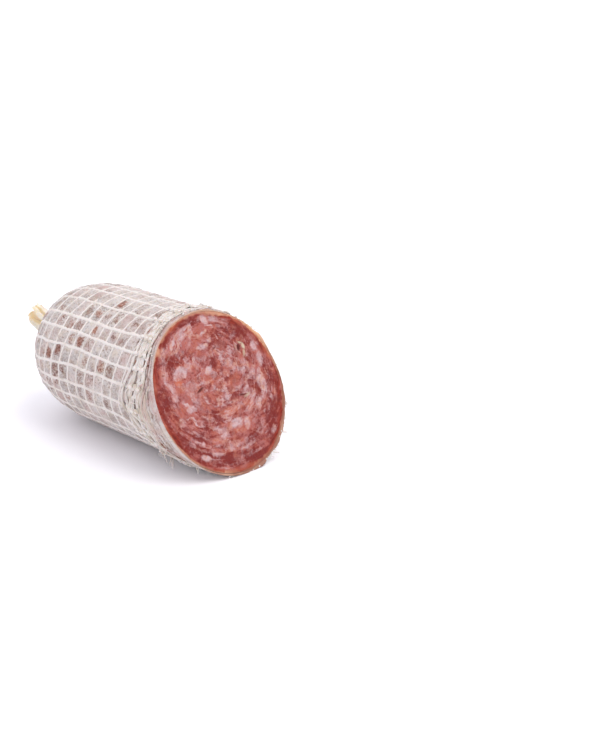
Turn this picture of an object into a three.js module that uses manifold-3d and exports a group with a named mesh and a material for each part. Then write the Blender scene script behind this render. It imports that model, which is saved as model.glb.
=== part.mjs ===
// A country salami, cut across on a slant, lying on its side as it would on a table.
//
// Three pieces make it up. The meat is a solid log with one slanted cut face and one domed end.
// The casing is the gut skin round it: a thin shell, open at the cut, that closes over the dome,
// narrows to a neck and ends in a dry, folded tuft. The net is the knitted string net pulled over
// the casing: strings that run from end to end, hoops across them, rolled cords at its cut edge,
// and a gathered collar round the neck.
//
// Millimetres, +Z up, +X towards the cut face. The origin is at the middle of the underside.

import * as THREE from "three";
import { mergeVertices } from "three/addons/utils/BufferGeometryUtils.js";
import Module from "manifold-3d";

// The body
const CASING_RADIUS = 49.7; // outside of the casing at the cut face
const TAPER = 0.0003; // share of the radius lost per millimetre towards the closed end
const BODY_LENGTH = 166; // from the middle of the cut face to the pole of the closed end
const DOME_LENGTH = 60; // length over which the closed end rounds off
const DOME_POWER = 2.6; // 2 is an ellipse, more is blunter
const CASING_THICKNESS = 1.2;
const CLEARANCE = 0.3; // left between pieces that touch
const CUT_LEAN = THREE.MathUtils.degToRad(24.9); // how far the cut face leans back from upright
const CUT_TURN = THREE.MathUtils.degToRad(4.2); // how far it turns towards -Y
const CUT_MARGIN = 32; // stock ahead of the middle of the cut face, before it is cut
const WELD = 1e-3; // corners closer than this are one

// The net, with one hoop across its strings every pitch
const STRINGS = 26; // strings that run along the body
const MESH_PITCH = 9.6; // from one hoop to the next
const STRING_WIDTH = 2.0;
const HOOP_WIDTH = 1.7;
const STRING_HEIGHT = 1.2;
const STRING_FLAT = 0.35; // how much of a string's ridge is pressed flat where the salami lies on it
const NET_END_RADIUS = 17; // where the hoops stop and the collar begins
const WANDER_ALONG = 0.7; // how far a crossing lies off its even place
const WANDER_ROUND = 0.6; // the same round the body
const EDGE_SETBACK = 4.5; // from the cut face back to the net's edge, above and below
const EDGE_PUSHES = [
  // where the edge is pushed back further: degrees round from +Y, how far, spread in degrees
  { round: 192, push: 16.5, spread: 27 },
  { round: 355, push: 4.5, spread: 40 },
];

// The rolled cords along the net's cut edge
const CORD_OFFSETS = [0, 3.4]; // of the free cord, then of the one that takes up the strings
const CORD_RADIUS = 1.6;
const CORD_SEAT = 0.75; // from the casing to the underside of a cord
const CORD_WAVE = 0.8;
const CORD_WAVES = [5, 7]; // waves of each round the casing
const CORD_STEPS = 44;
const CORD_SIDES = 4;

// The closed end
const NECK_RADIUS = 4.5;
const NECK_LENGTH = 12; // from the pole to where the tuft opens
const FUNNEL_LENGTH = 6; // over which the dome turns into the neck
const COLLAR_THICKNESS = 3.2;
const COLLAR_LENGTH = 8; // of the collar along the neck
const COLLAR_FLARE = 1.4; // of the collar's thickness, halfway along it
const TUFT_LENGTH = 15.5;
const TUFT_HALF_WIDTH = 6.6; // at its fullest
const TUFT_HALF_THICKNESS = 5;
const TUFT_CLOSING = 0.72; // share of a half wave that its fullness follows, so the tip draws in
const TUFT_RISE = 9; // how far the tuft's tip lifts above the neck
const TUFT_BEND = 6; // how far the tip bends towards -Y
const TUFT_TWIST = 0.35; // sideways lean of the knob for each millimetre of its height
const TUFT_FOLDS = 2.5;
const TUFT_FOLD_DEPTH = 0.9;
const TUFT_RAGGED = 1.2; // how far the tuft's edge runs in and out
const TUFT_STEPS = 7;
const TUFT_SIDES = 22;

const FULL_TURN = 2 * Math.PI;
const STRING_ANGLE = FULL_TURN / STRINGS;
const BLOCK_RADIUS = 1.2 * CASING_RADIUS; // of the block that cuts the end off
const BLOCK_SIDES = 64;
const SHORTEST_EDGE = 0.02; // edges shorter than this are closed up after joining
const SEED = 11;

const wasm = await Module();
wasm.setup();

// A small seeded generator, so that every build is the same.
function seededRandom(seed) {
  let state = seed;
  return () => {
    state = (state + 0x6d2b79f5) | 0;
    let t = Math.imul(state ^ (state >>> 15), 1 | state);
    t = (t + Math.imul(t ^ (t >>> 7), 61 | t)) ^ t;
    return ((t ^ (t >>> 14)) >>> 0) / 4294967296;
  };
}

// Outer radius of the casing at a distance back from the middle of the cut face.
function casingRadius(back) {
  const straight = CASING_RADIUS * (1 - TAPER * back);
  const into = Math.max(0, back - (BODY_LENGTH - DOME_LENGTH)) / DOME_LENGTH;
  return straight * Math.max(0, 1 - into ** DOME_POWER) ** (1 / DOME_POWER);
}

// Height of the body's middle: the underside is level, so it sinks as the body tapers.
const NET_THICKNESS_BELOW =
  (CLEARANCE + STRING_HEIGHT) * Math.cos(STRING_ANGLE / 2) - STRING_FLAT;
function middleHeight(back) {
  const level = Math.min(back, BODY_LENGTH - DOME_LENGTH);
  return (
    CASING_RADIUS * (1 - TAPER * level) * Math.cos(STRING_ANGLE / 2) +
    NET_THICKNESS_BELOW
  );
}

// A point round the body: back from the cut, out from the middle, and an angle from level +Y.
function bodyPoint(back, radius, angle) {
  return new THREE.Vector3(
    -back,
    radius * Math.cos(angle),
    middleHeight(back) + radius * Math.sin(angle),
  );
}

// How far the cut face lies ahead of its middle, at a radius and an angle.
function cutAhead(radius, angle) {
  return (
    radius *
    (Math.tan(CUT_TURN) * Math.cos(angle) - Math.tan(CUT_LEAN) * Math.sin(angle))
  );
}

// Places of the hoops, measured along the surface so that the mesh stays even over the dome.
const HOOP_PLACES = hoopPlaces();
function hoopPlaces() {
  const places = [-CUT_MARGIN];
  const step = 0.05;
  let travelled = 0;
  for (let back = -CUT_MARGIN; ; back += step) {
    const drop = casingRadius(back) - casingRadius(back + step);
    travelled += Math.hypot(step, drop);
    if (casingRadius(back + step) < NET_END_RADIUS) break;
    if (travelled >= MESH_PITCH) {
      places.push(back + step);
      travelled = 0;
    }
  }
  return places;
}

// The closed solid of a geometry, faces outwards: shared corners are merged and collapsed faces
// dropped.
function solidOf(geometry) {
  const bare = geometry.index ? geometry.toNonIndexed() : geometry;
  const places = new THREE.BufferGeometry();
  places.setAttribute("position", bare.getAttribute("position"));
  const merged = mergeVertices(places, WELD);
  const faces = [];
  const index = merged.index.array;
  for (let i = 0; i < index.length; i += 3) {
    const [a, b, c] = index.slice(i, i + 3);
    if (a !== b && b !== c && c !== a) faces.push(a, b, c);
  }
  const corners = merged.attributes.position.array;
  const solid = (triVerts) =>
    new wasm.Manifold(new wasm.Mesh({ numProp: 3, vertProperties: corners, triVerts }));
  const made = solid(new Uint32Array(faces));
  return made.volume() > 0 ? made : solid(new Uint32Array(faces.reverse()));
}

// The largest connected body of a solid, without its shortest edges: sealed pockets are filled
// and loose scraps dropped.
function wholeBody(solid) {
  const bodies = solid.simplify(SHORTEST_EDGE).decompose();
  return bodies.reduce((large, body) => (body.volume() > large.volume() ? body : large));
}

function geometryOf(solid) {
  const mesh = solid.getMesh();
  const corners = new Float32Array(mesh.numVert * 3);
  for (let i = 0; i < mesh.numVert; i++)
    corners.set(
      mesh.vertProperties.subarray(i * mesh.numProp, i * mesh.numProp + 3),
      i * 3,
    );
  const geometry = new THREE.BufferGeometry();
  geometry.setAttribute("position", new THREE.BufferAttribute(corners, 3));
  geometry.setIndex(new THREE.BufferAttribute(mesh.triVerts, 1));
  geometry.computeVertexNormals();
  return geometry;
}

// Moves every vertex of a geometry by a function from its old place to its new one.
function reshape(geometry, move) {
  const place = geometry.getAttribute("position");
  const point = new THREE.Vector3();
  for (let i = 0; i < place.count; i++) {
    point.fromBufferAttribute(place, i);
    const moved = move(point);
    place.setXYZ(i, moved.x, moved.y, moved.z);
  }
  return geometry;
}

// A solid of revolution round the body's middle line, from [back, radius] pairs.
function revolved(profile) {
  const outline = profile.map(([back, radius]) => new THREE.Vector2(radius, back));
  const lathe = new THREE.LatheGeometry(outline, STRINGS, STRING_ANGLE / 2);
  return solidOf(
    reshape(lathe, ({ x, y, z }) =>
      bodyPoint(y, Math.hypot(x, z), Math.atan2(x, z) - Math.PI / 2),
    ),
  );
}

// Skins rings of points of equal count into one closed geometry with a fan at each end.
function skinned(rings) {
  const corners = rings.flat();
  const faces = [];
  const sides = rings[0].length;
  for (let i = 0; i + 1 < rings.length; i++)
    for (let j = 0; j < sides; j++) {
      const a = i * sides + j;
      const b = i * sides + ((j + 1) % sides);
      faces.push(a, b, b + sides, a, b + sides, a + sides);
    }
  const fan = (first, flip) => {
    const middle = new THREE.Vector3();
    for (let j = 0; j < sides; j++) middle.addScaledVector(corners[first + j], 1 / sides);
    corners.push(middle);
    for (let j = 0; j < sides; j++) {
      const a = first + j;
      const b = first + ((j + 1) % sides);
      faces.push(...(flip ? [b, a] : [a, b]), corners.length - 1);
    }
  };
  fan(0, true);
  fan((rings.length - 1) * sides, false);
  return new THREE.BufferGeometry().setFromPoints(corners).setIndex(faces);
}

// A block of all that lies ahead of the cut face, set back from it by a length for each angle.
function aheadOfCut(setback) {
  const angles = Array.from({ length: BLOCK_SIDES }, (_, i) => (i / BLOCK_SIDES) * FULL_TURN);
  const ring = (place) => angles.map((angle) => bodyPoint(place(angle), BLOCK_RADIUS, angle));
  const rear = ring((angle) => setback(angle) - cutAhead(BLOCK_RADIUS, angle));
  const front = ring(() => -2 * CASING_RADIUS);
  return solidOf(skinned([rear, front]));
}

// The casing's outer line up to the pole, as [back, radius] pairs: one straight stretch, then a
// corner at each hoop over the dome, so that the net lies evenly on it.
function bodyLine() {
  const domeStart = BODY_LENGTH - DOME_LENGTH;
  const corners = [-CUT_MARGIN, domeStart, ...HOOP_PLACES.filter((back) => back > domeStart)];
  return corners.map((back) => [back, casingRadius(back)]);
}

// The outer line of the casing from the cut to the neck.
function casingOutline() {
  const funnel = [
    [BODY_LENGTH - CASING_THICKNESS, 2 * NECK_RADIUS],
    [BODY_LENGTH + 0.3 * FUNNEL_LENGTH, 1.35 * NECK_RADIUS],
    [BODY_LENGTH + FUNNEL_LENGTH, NECK_RADIUS],
    [BODY_LENGTH + NECK_LENGTH, NECK_RADIUS],
  ];
  return [...bodyLine(), ...funnel];
}

// The same line drawn in by a distance and closed over the pole, without the neck.
function innerOutline(inset) {
  const pole = BODY_LENGTH - inset - CASING_THICKNESS;
  const line = bodyLine().map(([back, radius]) => [back, radius - inset]);
  const kept = line.filter(([back]) => back < pole - 1);
  return [...kept, [pole - CLEARANCE, NECK_RADIUS], [pole, 0]];
}

function makeMeat() {
  const outline = innerOutline(CASING_THICKNESS + CLEARANCE);
  const profile = [[-CUT_MARGIN, 0], ...outline];
  return revolved(profile).subtract(aheadOfCut(() => 0));
}

// The dry end of the gut: a crumpled knob that swells out of the neck and draws in at its tip.
function makeTuft() {
  const rings = [];
  for (let i = 0; i <= TUFT_STEPS; i++) {
    const along = i / TUFT_STEPS;
    const opened = Math.sin(along * Math.PI * TUFT_CLOSING);
    const halfWidth = THREE.MathUtils.lerp(NECK_RADIUS - 0.4, TUFT_HALF_WIDTH, opened);
    const halfThickness = THREE.MathUtils.lerp(
      NECK_RADIUS - 0.4,
      TUFT_HALF_THICKNESS,
      opened,
    );
    const back = BODY_LENGTH + NECK_LENGTH - 1 + along * TUFT_LENGTH;
    const ring = [];
    for (let j = 0; j < TUFT_SIDES; j++) {
      const angle = (j / TUFT_SIDES) * FULL_TURN;
      const across = Math.cos(angle) * halfWidth;
      const fold =
        opened *
        TUFT_FOLD_DEPTH *
        Math.sin((across / TUFT_HALF_WIDTH) * TUFT_FOLDS * Math.PI);
      const through = Math.sin(angle) * halfThickness + fold;
      const ragged = along * TUFT_RAGGED * Math.cos(3 * angle);
      ring.push(
        new THREE.Vector3(
          -back - ragged,
          through + TUFT_TWIST * across - along * along * TUFT_BEND,
          middleHeight(BODY_LENGTH) + across + along * along * TUFT_RISE,
        ),
      );
    }
    rings.push(ring);
  }
  return solidOf(skinned(rings));
}

function makeCasing() {
  const outer = casingOutline();
  const inner = innerOutline(CASING_THICKNESS).reverse();
  const profile = [...inner, ...outer, [BODY_LENGTH + NECK_LENGTH, 0]];
  return revolved(profile)
    .subtract(aheadOfCut(() => 0))
    .add(makeTuft());
}

// Crossings of the net: for each hoop and string, a seat point on the casing and its directions.
function netCrossings() {
  const random = seededRandom(SEED);
  const seat = (back, angle, lift) =>
    bodyPoint(back, casingRadius(back) + lift, angle);
  return HOOP_PLACES.map((place) =>
    Array.from({ length: STRINGS }, (_, j) => {
      const back = place + (random() * 2 - 1) * WANDER_ALONG;
      const radius = casingRadius(back);
      const near = Math.min(1, radius / CASING_RADIUS);
      const wander = ((random() * 2 - 1) * WANDER_ROUND * near) / radius;
      const angle = (j + 0.5) * STRING_ANGLE + wander - Math.PI / 2;
      const round = new THREE.Vector3(0, -Math.sin(angle), Math.cos(angle));
      const along = seat(back + 0.5, angle, 0)
        .sub(seat(back - 0.5, angle, 0))
        .normalize();
      const out = new THREE.Vector3().crossVectors(along, round).normalize();
      if (out.dot(new THREE.Vector3(0, Math.cos(angle), Math.sin(angle))) < 0)
        out.negate();
      const foot = seat(back, angle, 0).addScaledVector(out, CLEARANCE);
      const narrow = Math.min(1, (radius * STRING_ANGLE) / (1.6 * STRING_WIDTH));
      return { foot, round, along, out, narrow };
    }),
  );
}

// The open lattice of ridged strings: each has a flat underside and one ridge on top.
function latticeGeometry(crossings) {
  const corners = [];
  const faces = [];
  const hoops = crossings.length;
  const corner = (k, j, around, onward) => {
    const { foot, round, along, narrow } = crossings[k][(j + STRINGS) % STRINGS];
    const place = foot
      .clone()
      .addScaledVector(round, (around * narrow * STRING_WIDTH) / 2)
      .addScaledVector(along, (onward * HOOP_WIDTH) / 2);
    return corners.push(place) - 1;
  };
  const ids = crossings.map((row, k) =>
    row.map(({ foot, out }, j) => ({
      ridge: corners.push(foot.clone().addScaledVector(out, STRING_HEIGHT)) - 1,
      pp: corner(k, j, 1, 1),
      pn: corner(k, j, 1, -1),
      np: corner(k, j, -1, 1),
      nn: corner(k, j, -1, -1),
    })),
  );
  const quad = (a, b, c, d) => faces.push(a, b, c, a, c, d);
  for (let k = 0; k < hoops; k++)
    for (let j = 0; j < STRINGS; j++) {
      const here = ids[k][j];
      const beside = ids[k][(j + 1) % STRINGS];
      quad(here.nn, here.pn, here.pp, here.np);
      quad(here.pn, beside.nn, beside.np, here.pp);
      quad(here.pp, beside.np, beside.ridge, here.ridge);
      quad(beside.nn, here.pn, here.ridge, beside.ridge);
      if (k === 0) faces.push(here.pn, here.nn, here.ridge);
      if (k === hoops - 1) faces.push(here.np, here.pp, here.ridge);
      if (k + 1 < hoops) {
        const next = ids[k + 1][j];
        quad(here.np, here.pp, next.pn, next.nn);
        quad(here.pp, here.ridge, next.ridge, next.pn);
        quad(here.ridge, here.np, next.nn, next.ridge);
      }
    }
  return new THREE.BufferGeometry().setFromPoints(corners).setIndex(faces);
}

// How far back from the cut face the net's edge lies at an angle.
function edgeSetback(angle) {
  const degrees = THREE.MathUtils.radToDeg(angle);
  const pushed = EDGE_PUSHES.map(({ round, push, spread }) => {
    const off = THREE.MathUtils.euclideanModulo(degrees - round + 180, 360) - 180;
    return push * Math.exp(-((off / spread) ** 2));
  });
  return pushed.reduce((sum, push) => sum + push, EDGE_SETBACK);
}

// A wavy cord that lies round the casing along the net's edge, a little way behind it.
function makeEdgeCord(offset, waves) {
  const ring = new THREE.TorusGeometry(1, 0.5, CORD_SIDES, CORD_STEPS);
  return solidOf(
    reshape(ring, ({ x, y, z }) => {
      const angle = Math.atan2(y, x);
      const sideways = (Math.hypot(x, y) - 1) / 0.5;
      const upright = z / 0.5;
      const wave = CORD_WAVE * Math.sin(waves * angle + offset);
      const lift = CORD_SEAT + CORD_RADIUS + Math.abs(wave) / 3;
      const back = edgeSetback(angle) + offset + wave - cutAhead(CASING_RADIUS, angle);
      const radius = casingRadius(back) + lift;
      return bodyPoint(
        back + upright * CORD_RADIUS,
        radius + sideways * CORD_RADIUS,
        angle,
      );
    }),
  );
}

// The gathered net round the neck: a pleated ring that takes up the ends of all the strings.
function makeCollar() {
  const start = HOOP_PLACES.at(-1);
  const gap = 1.5 * CLEARANCE;
  const inner = [
    [start, casingRadius(start) + gap],
    ...casingOutline()
      .filter(([back]) => back > start + 0.5 && back < BODY_LENGTH + COLLAR_LENGTH)
      .map(([back, radius]) => [back + gap, radius + gap]),
    [BODY_LENGTH + COLLAR_LENGTH, NECK_RADIUS + gap],
  ];
  const outer = [
    [BODY_LENGTH + COLLAR_LENGTH, NECK_RADIUS + COLLAR_THICKNESS],
    [BODY_LENGTH + 0.5 * COLLAR_LENGTH, NECK_RADIUS + COLLAR_FLARE * COLLAR_THICKNESS],
    [BODY_LENGTH + STRING_HEIGHT, NET_END_RADIUS - STRING_HEIGHT],
  ];
  return revolved([...inner, ...outer, inner[0]]);
}

function makeNet() {
  const lattice = solidOf(latticeGeometry(netCrossings()));
  const cords = CORD_OFFSETS.map((offset, i) => makeEdgeCord(offset, CORD_WAVES[i]));
  const stringEnd = (angle) => edgeSetback(angle) + CORD_OFFSETS.at(-1);
  const slab = 3 * BODY_LENGTH;
  const floor = new THREE.BoxGeometry(slab, slab, slab).translate(0, 0, -slab / 2);
  const joined = cords
    .reduce((net, cord) => net.add(cord), lattice.subtract(aheadOfCut(stringEnd)))
    .add(makeCollar())
    .subtract(solidOf(floor));
  return wholeBody(joined);
}

function mesh(name, solid, color, roughness) {
  const material = new THREE.MeshStandardMaterial({ color, roughness, metalness: 0 });
  const made = new THREE.Mesh(geometryOf(solid), material);
  made.name = name;
  return made;
}

const salami = new THREE.Group();
salami.add(
  mesh("meat", makeMeat(), 0xa8483f, 0.45),
  mesh("casing", makeCasing(), 0xcfc4bb, 0.85),
  mesh("net", makeNet(), 0xe6dfd6, 0.9),
);

// Stand the group on the middle of its underside.
const extent = new THREE.Box3().setFromObject(salami);
const middle = extent.getCenter(new THREE.Vector3());
salami.position.set(-middle.x, -middle.y, -extent.min.z);

export default salami;
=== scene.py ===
"""A country salami, cut on a slant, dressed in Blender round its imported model.

The meat, the gut casing with its dry tuft, and the string net each take the place of one solid of
the model. Lengths are in metres, +X runs along the body towards the cut face and +Z is up.
"""

import math

import bpy
import numpy as np
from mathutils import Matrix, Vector


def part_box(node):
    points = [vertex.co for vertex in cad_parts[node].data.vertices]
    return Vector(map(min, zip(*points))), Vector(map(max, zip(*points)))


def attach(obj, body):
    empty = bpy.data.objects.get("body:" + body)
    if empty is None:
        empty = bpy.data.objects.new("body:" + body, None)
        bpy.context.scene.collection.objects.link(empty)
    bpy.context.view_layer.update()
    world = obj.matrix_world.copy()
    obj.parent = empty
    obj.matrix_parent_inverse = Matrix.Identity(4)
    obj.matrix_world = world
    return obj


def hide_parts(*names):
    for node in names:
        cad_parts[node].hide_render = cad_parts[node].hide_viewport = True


bl_info = {
    "name": "Country Salami",
    "version": (1, 0, 0),
    "blender": (4, 5, 0),
    "location": "View3D > Sidebar > Salami",
    "description": "Makes a cut country salami in its casing and net around a packed model",
    "category": "Add Mesh",
}

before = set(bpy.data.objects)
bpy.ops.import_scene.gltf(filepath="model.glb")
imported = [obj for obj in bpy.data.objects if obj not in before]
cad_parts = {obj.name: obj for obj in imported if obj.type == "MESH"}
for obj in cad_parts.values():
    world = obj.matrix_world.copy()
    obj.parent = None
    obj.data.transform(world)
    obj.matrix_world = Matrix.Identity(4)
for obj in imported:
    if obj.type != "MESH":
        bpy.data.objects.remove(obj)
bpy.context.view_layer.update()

MM = 0.001
FULL_TURN = 2 * math.pi
UP = math.pi / 2
USUAL_RADIUS = 50 * MM  # of the body, for noise that is read round it
FLOOR_GAP = 0.02 * MM  # between the lowest point and the floor
SOLID_GAP = 0.3 * MM  # between skin and meat in the solid model
HIDDEN_GAP = 0.35 * MM  # between the inside of the skin and the meat here
LEAST_SKIN = 0.15 * MM  # thickness of the skin at its thinnest


# Settings

COLOUR = {"subtype": "COLOR", "size": 3, "min": 0, "max": 1}


class SalamiBodySettings(bpy.types.PropertyGroup):
    """Sizes of the body, the same as the solid model's."""

    casing_radius: bpy.props.FloatProperty(
        name="Casing radius", description="Outside of the casing at the cut face",
        default=49.7 * MM, unit="LENGTH")
    taper: bpy.props.FloatProperty(
        name="Taper", description="Share of the radius lost for each metre towards the closed end",
        default=0.3)
    length: bpy.props.FloatProperty(
        name="Length", description="From the middle of the cut face to the closed end",
        default=166 * MM, unit="LENGTH")
    dome_length: bpy.props.FloatProperty(
        name="Dome length", description="Length over which the closed end rounds off",
        default=60 * MM, unit="LENGTH")
    dome_power: bpy.props.FloatProperty(
        name="Dome power", description="2 is an ellipse and more is blunter", default=2.6)
    casing_thickness: bpy.props.FloatProperty(
        name="Casing thickness", description="Thickness of the gut skin with its mould",
        default=1.2 * MM, unit="LENGTH")
    cut_thickness: bpy.props.FloatProperty(
        name="Cut thickness", description="Thickness of the skin where it shows at the cut",
        default=0.5 * MM, unit="LENGTH")
    cut_lean: bpy.props.FloatProperty(
        name="Cut lean", description="How far the cut face leans back from upright",
        default=math.radians(24.9), subtype="ANGLE")
    cut_turn: bpy.props.FloatProperty(
        name="Cut turn", description="How far the cut face turns towards -Y",
        default=math.radians(4.2), subtype="ANGLE")
    neck_radius: bpy.props.FloatProperty(
        name="Neck radius", description="Of the drawn-in casing at the closed end",
        default=4.5 * MM, unit="LENGTH")
    neck_length: bpy.props.FloatProperty(
        name="Neck length", description="From the closed end to where the tuft opens",
        default=12 * MM, unit="LENGTH")
    lumps: bpy.props.FloatProperty(
        name="Lumps", description="How far the body swells and sinks along its length",
        default=0.7 * MM, unit="LENGTH")


class SalamiNetSettings(bpy.types.PropertyGroup):
    """Sizes of the string net."""

    strings: bpy.props.IntProperty(
        name="Strings", description="Strings that run from end to end", default=26)
    pitch: bpy.props.FloatProperty(
        name="Pitch", description="From one hoop to the next", default=9.6 * MM, unit="LENGTH")
    string_width: bpy.props.FloatProperty(
        name="String width", description="Width of the strings that run lengthways",
        default=2.15 * MM, unit="LENGTH")
    hoop_width: bpy.props.FloatProperty(
        name="Hoop width", description="Width of the strings that run round", default=1.75 * MM,
        unit="LENGTH")
    thickness: bpy.props.FloatProperty(
        name="Thickness", description="How thick a string is, away from the casing",
        default=1.1 * MM, unit="LENGTH")
    edge_setback: bpy.props.FloatProperty(
        name="Edge setback", description="From the cut back to the net's edge, above and below",
        default=4.5 * MM, unit="LENGTH")
    edge_setback_near: bpy.props.FloatProperty(
        name="Near setback", description="The same on the -Y side, where it is pushed furthest",
        default=21 * MM, unit="LENGTH")
    edge_setback_far: bpy.props.FloatProperty(
        name="Far setback", description="The same on the +Y side", default=9 * MM, unit="LENGTH")
    hoop_tilt: bpy.props.FloatProperty(
        name="Hoop tilt", description="How far a hoop leans back on its way down the -Y side",
        default=4.5 * MM, unit="LENGTH")
    sink: bpy.props.FloatProperty(
        name="Sink", description="How deep a string presses into the casing", default=0.8 * MM,
        unit="LENGTH")
    swell: bpy.props.FloatProperty(
        name="Swell", description="How far the casing stands up in the middle of a mesh",
        default=0.45 * MM, unit="LENGTH")
    colour: bpy.props.FloatVectorProperty(
        name="String colour", description="Cotton string", default=(0.69, 0.637, 0.603), **COLOUR)
    shade_colour: bpy.props.FloatVectorProperty(
        name="String shade", description="Cotton string where it is soiled",
        default=(0.52, 0.44, 0.36), **COLOUR)
    blush_colour: bpy.props.FloatVectorProperty(
        name="String blush", description="Cotton string that lies flat over the bare skin",
        default=(0.53, 0.37, 0.335), **COLOUR)


class SalamiMeatSettings(bpy.types.PropertyGroup):
    """Grain and colours of the filling."""

    grain: bpy.props.FloatProperty(
        name="Grain", description="Usual size of a piece of meat or fat", default=3.6 * MM,
        unit="LENGTH")
    fat_share: bpy.props.FloatProperty(
        name="Fat share", description="Share of the grains that are fat", default=0.27, min=0,
        max=1)
    lean_colour: bpy.props.FloatVectorProperty(
        name="Lean", description="Usual colour of the lean", default=(0.350, 0.1025, 0.089),
        **COLOUR)
    dark_colour: bpy.props.FloatVectorProperty(
        name="Dark lean", description="Darkest lean", default=(0.168, 0.0167, 0.014), **COLOUR)
    fat_colour: bpy.props.FloatVectorProperty(
        name="Fat", description="Pieces of back fat", default=(0.484, 0.3015, 0.295), **COLOUR)
    smear_colour: bpy.props.FloatVectorProperty(
        name="Smear", description="Fine fat between the pieces", default=(0.444, 0.189, 0.160),
        **COLOUR)
    warm_colour: bpy.props.FloatVectorProperty(
        name="Warm", description="Glassy orange patches", default=(0.45, 0.115, 0.058), **COLOUR)
    rim_colour: bpy.props.FloatVectorProperty(
        name="Rim", description="Dried ring under the casing", default=(0.255, 0.026, 0.013),
        **COLOUR)
    crust_colour: bpy.props.FloatVectorProperty(
        name="Crust", description="Tan crust at the rim", default=(0.50, 0.245, 0.155), **COLOUR)
    cream_colour: bpy.props.FloatVectorProperty(
        name="Cream", description="Mould in a hollow of the face", default=(0.50, 0.40, 0.29),
        **COLOUR)


class SalamiCasingSettings(bpy.types.PropertyGroup):
    """Colours of the casing and its tuft."""

    mould_colour: bpy.props.FloatVectorProperty(
        name="Mould", description="White powdery mould", default=(0.562, 0.507, 0.484), **COLOUR)
    grey_colour: bpy.props.FloatVectorProperty(
        name="Grey mould", description="Thin grey-brown mould", default=(0.315, 0.252, 0.228),
        **COLOUR)
    # The bare colour is also used for painted shade under the net's edge, between its cords and in
    # the strip's folds and creases
    bare_and_shade_colour: bpy.props.FloatVectorProperty(
        name="Bare", description="Where the meat shows through", default=(0.19, 0.06, 0.038),
        **COLOUR)
    pink_colour: bpy.props.FloatVectorProperty(
        name="Pink", description="Pinkish film over the meat", default=(0.495, 0.333, 0.31),
        **COLOUR)
    dot_colour: bpy.props.FloatVectorProperty(
        name="Dots", description="Olive specks in the mould", default=(0.20, 0.155, 0.11), **COLOUR)
    edge_colour: bpy.props.FloatVectorProperty(
        name="Cut edge", description="Cut edge of the gut skin", default=(0.50, 0.30, 0.21),
        **COLOUR)
    tuft_colour: bpy.props.FloatVectorProperty(
        name="Tuft", description="Dry gut without mould", default=(0.71, 0.60, 0.45), **COLOUR)


class SalamiStageSettings(bpy.types.PropertyGroup):
    """The light and the camera."""

    sky: bpy.props.FloatProperty(
        name="Sky", description="Strength of the even white light", default=1.19)
    sky_colour: bpy.props.FloatVectorProperty(
        name="Sky colour", description="Tint of the even light", default=(0.945, 0.943, 1.0),
        **COLOUR)
    key_strength: bpy.props.FloatProperty(
        name="Key light", description="Strength of the large soft light", default=1.15)
    key_spread: bpy.props.FloatProperty(
        name="Key spread", description="How wide the soft light is", subtype="ANGLE",
        default=math.radians(42))
    camera_distance: bpy.props.FloatProperty(
        name="Camera distance", description="From the camera to the point it looks at",
        default=939 * MM, unit="LENGTH")
    camera_azimuth: bpy.props.FloatProperty(
        name="Camera azimuth", description="Turned from looking along +Y",
        default=math.radians(44.4), subtype="ANGLE")
    camera_elevation: bpy.props.FloatProperty(
        name="Camera elevation", description="Above the horizon", default=math.radians(20.4),
        subtype="ANGLE")
    lens: bpy.props.FloatProperty(
        name="Lens", description="Focal length for a 36 mm sensor, in millimetres", default=67.8)


# Numbers


def smooth(low, high, value):
    """An even step from 0 at low to 1 at high."""
    t = np.clip((np.asarray(value, float) - low) / (high - low), 0, 1)
    return t * t * (3 - 2 * t)


def plateau(value, rise_from, rise_to, fall_from, fall_to):
    """1 along a stretch, with an even step up before it and one down after it."""
    return smooth(rise_from, rise_to, value) * (1 - smooth(fall_from, fall_to, value))


def noise(points, cell, seed):
    """Smooth noise from -1 to 1 at an array of points, with features about one cell wide."""
    place = np.asarray(points, float) / cell
    low = np.floor(place)
    part = place - low
    part = part * part * part * (part * (part * 6 - 15) + 10)
    low = low.astype(np.int64)
    total = np.zeros(place.shape[:-1])
    for corner in np.ndindex(2, 2, 2):
        at = low + corner
        mixed = at[..., 0] * 374761393 + at[..., 1] * 668265263 + at[..., 2] * 1103515245
        mixed = mixed + seed * 1274126177
        mixed = (mixed ^ (mixed >> 13)) * 1274126177
        mixed = mixed ^ (mixed >> 16)
        value = (mixed & 0xFFFF) / 32767.5 - 1
        total += value * np.prod(np.where(corner, part, 1 - part), axis=-1)
    return total


def layered_noise(points, cell, layers, seed):
    """Noise with finer and weaker noise on top of it."""
    return sum(noise(points, cell / 2**i, seed + 17 * i) / 2**i for i in range(layers))


def cell_random(*whole_numbers, seed):
    """One even random value from 0 to 1 for each set of whole numbers."""
    mixed = np.full(np.shape(whole_numbers[0]), seed * 7919 + 13, np.int64)
    for n, factor in zip(whole_numbers, (374761393, 668265263, 1103515245)):
        mixed = mixed + np.asarray(n).astype(np.int64) * factor
    mixed = (mixed ^ (mixed >> 13)) * 1274126177
    mixed = (mixed ^ (mixed >> 16)) * 668265263
    return ((mixed ^ (mixed >> 15)) & 0xFFFFF) / 0xFFFFF


def turned_off(degrees, middle):
    """How far a turn in degrees is from a middle, from -180 to 180."""
    return np.mod(degrees - middle + 180, 360) - 180


def close_to(degrees, middle, reach):
    """1 at a turn in degrees, falling off softly over the reach to either side."""
    return np.exp(-(turned_off(degrees, middle) / reach) ** 2)


def from_table(table, degrees):
    """Values at turns in degrees, taken between those that a table lists."""
    places, values = np.array(table).T
    return np.interp(degrees, places, values, period=360)


def on_ring(angle, way=None):
    """Places on a ring as wide as the body, or on a tube of that width, to read noise at."""
    across = USUAL_RADIUS * np.cos(angle)
    up = USUAL_RADIUS * np.sin(angle)
    if way is None:
        return np.stack([across, up, 0 * angle], -1)
    return np.stack([way, across, up], -1)


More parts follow.
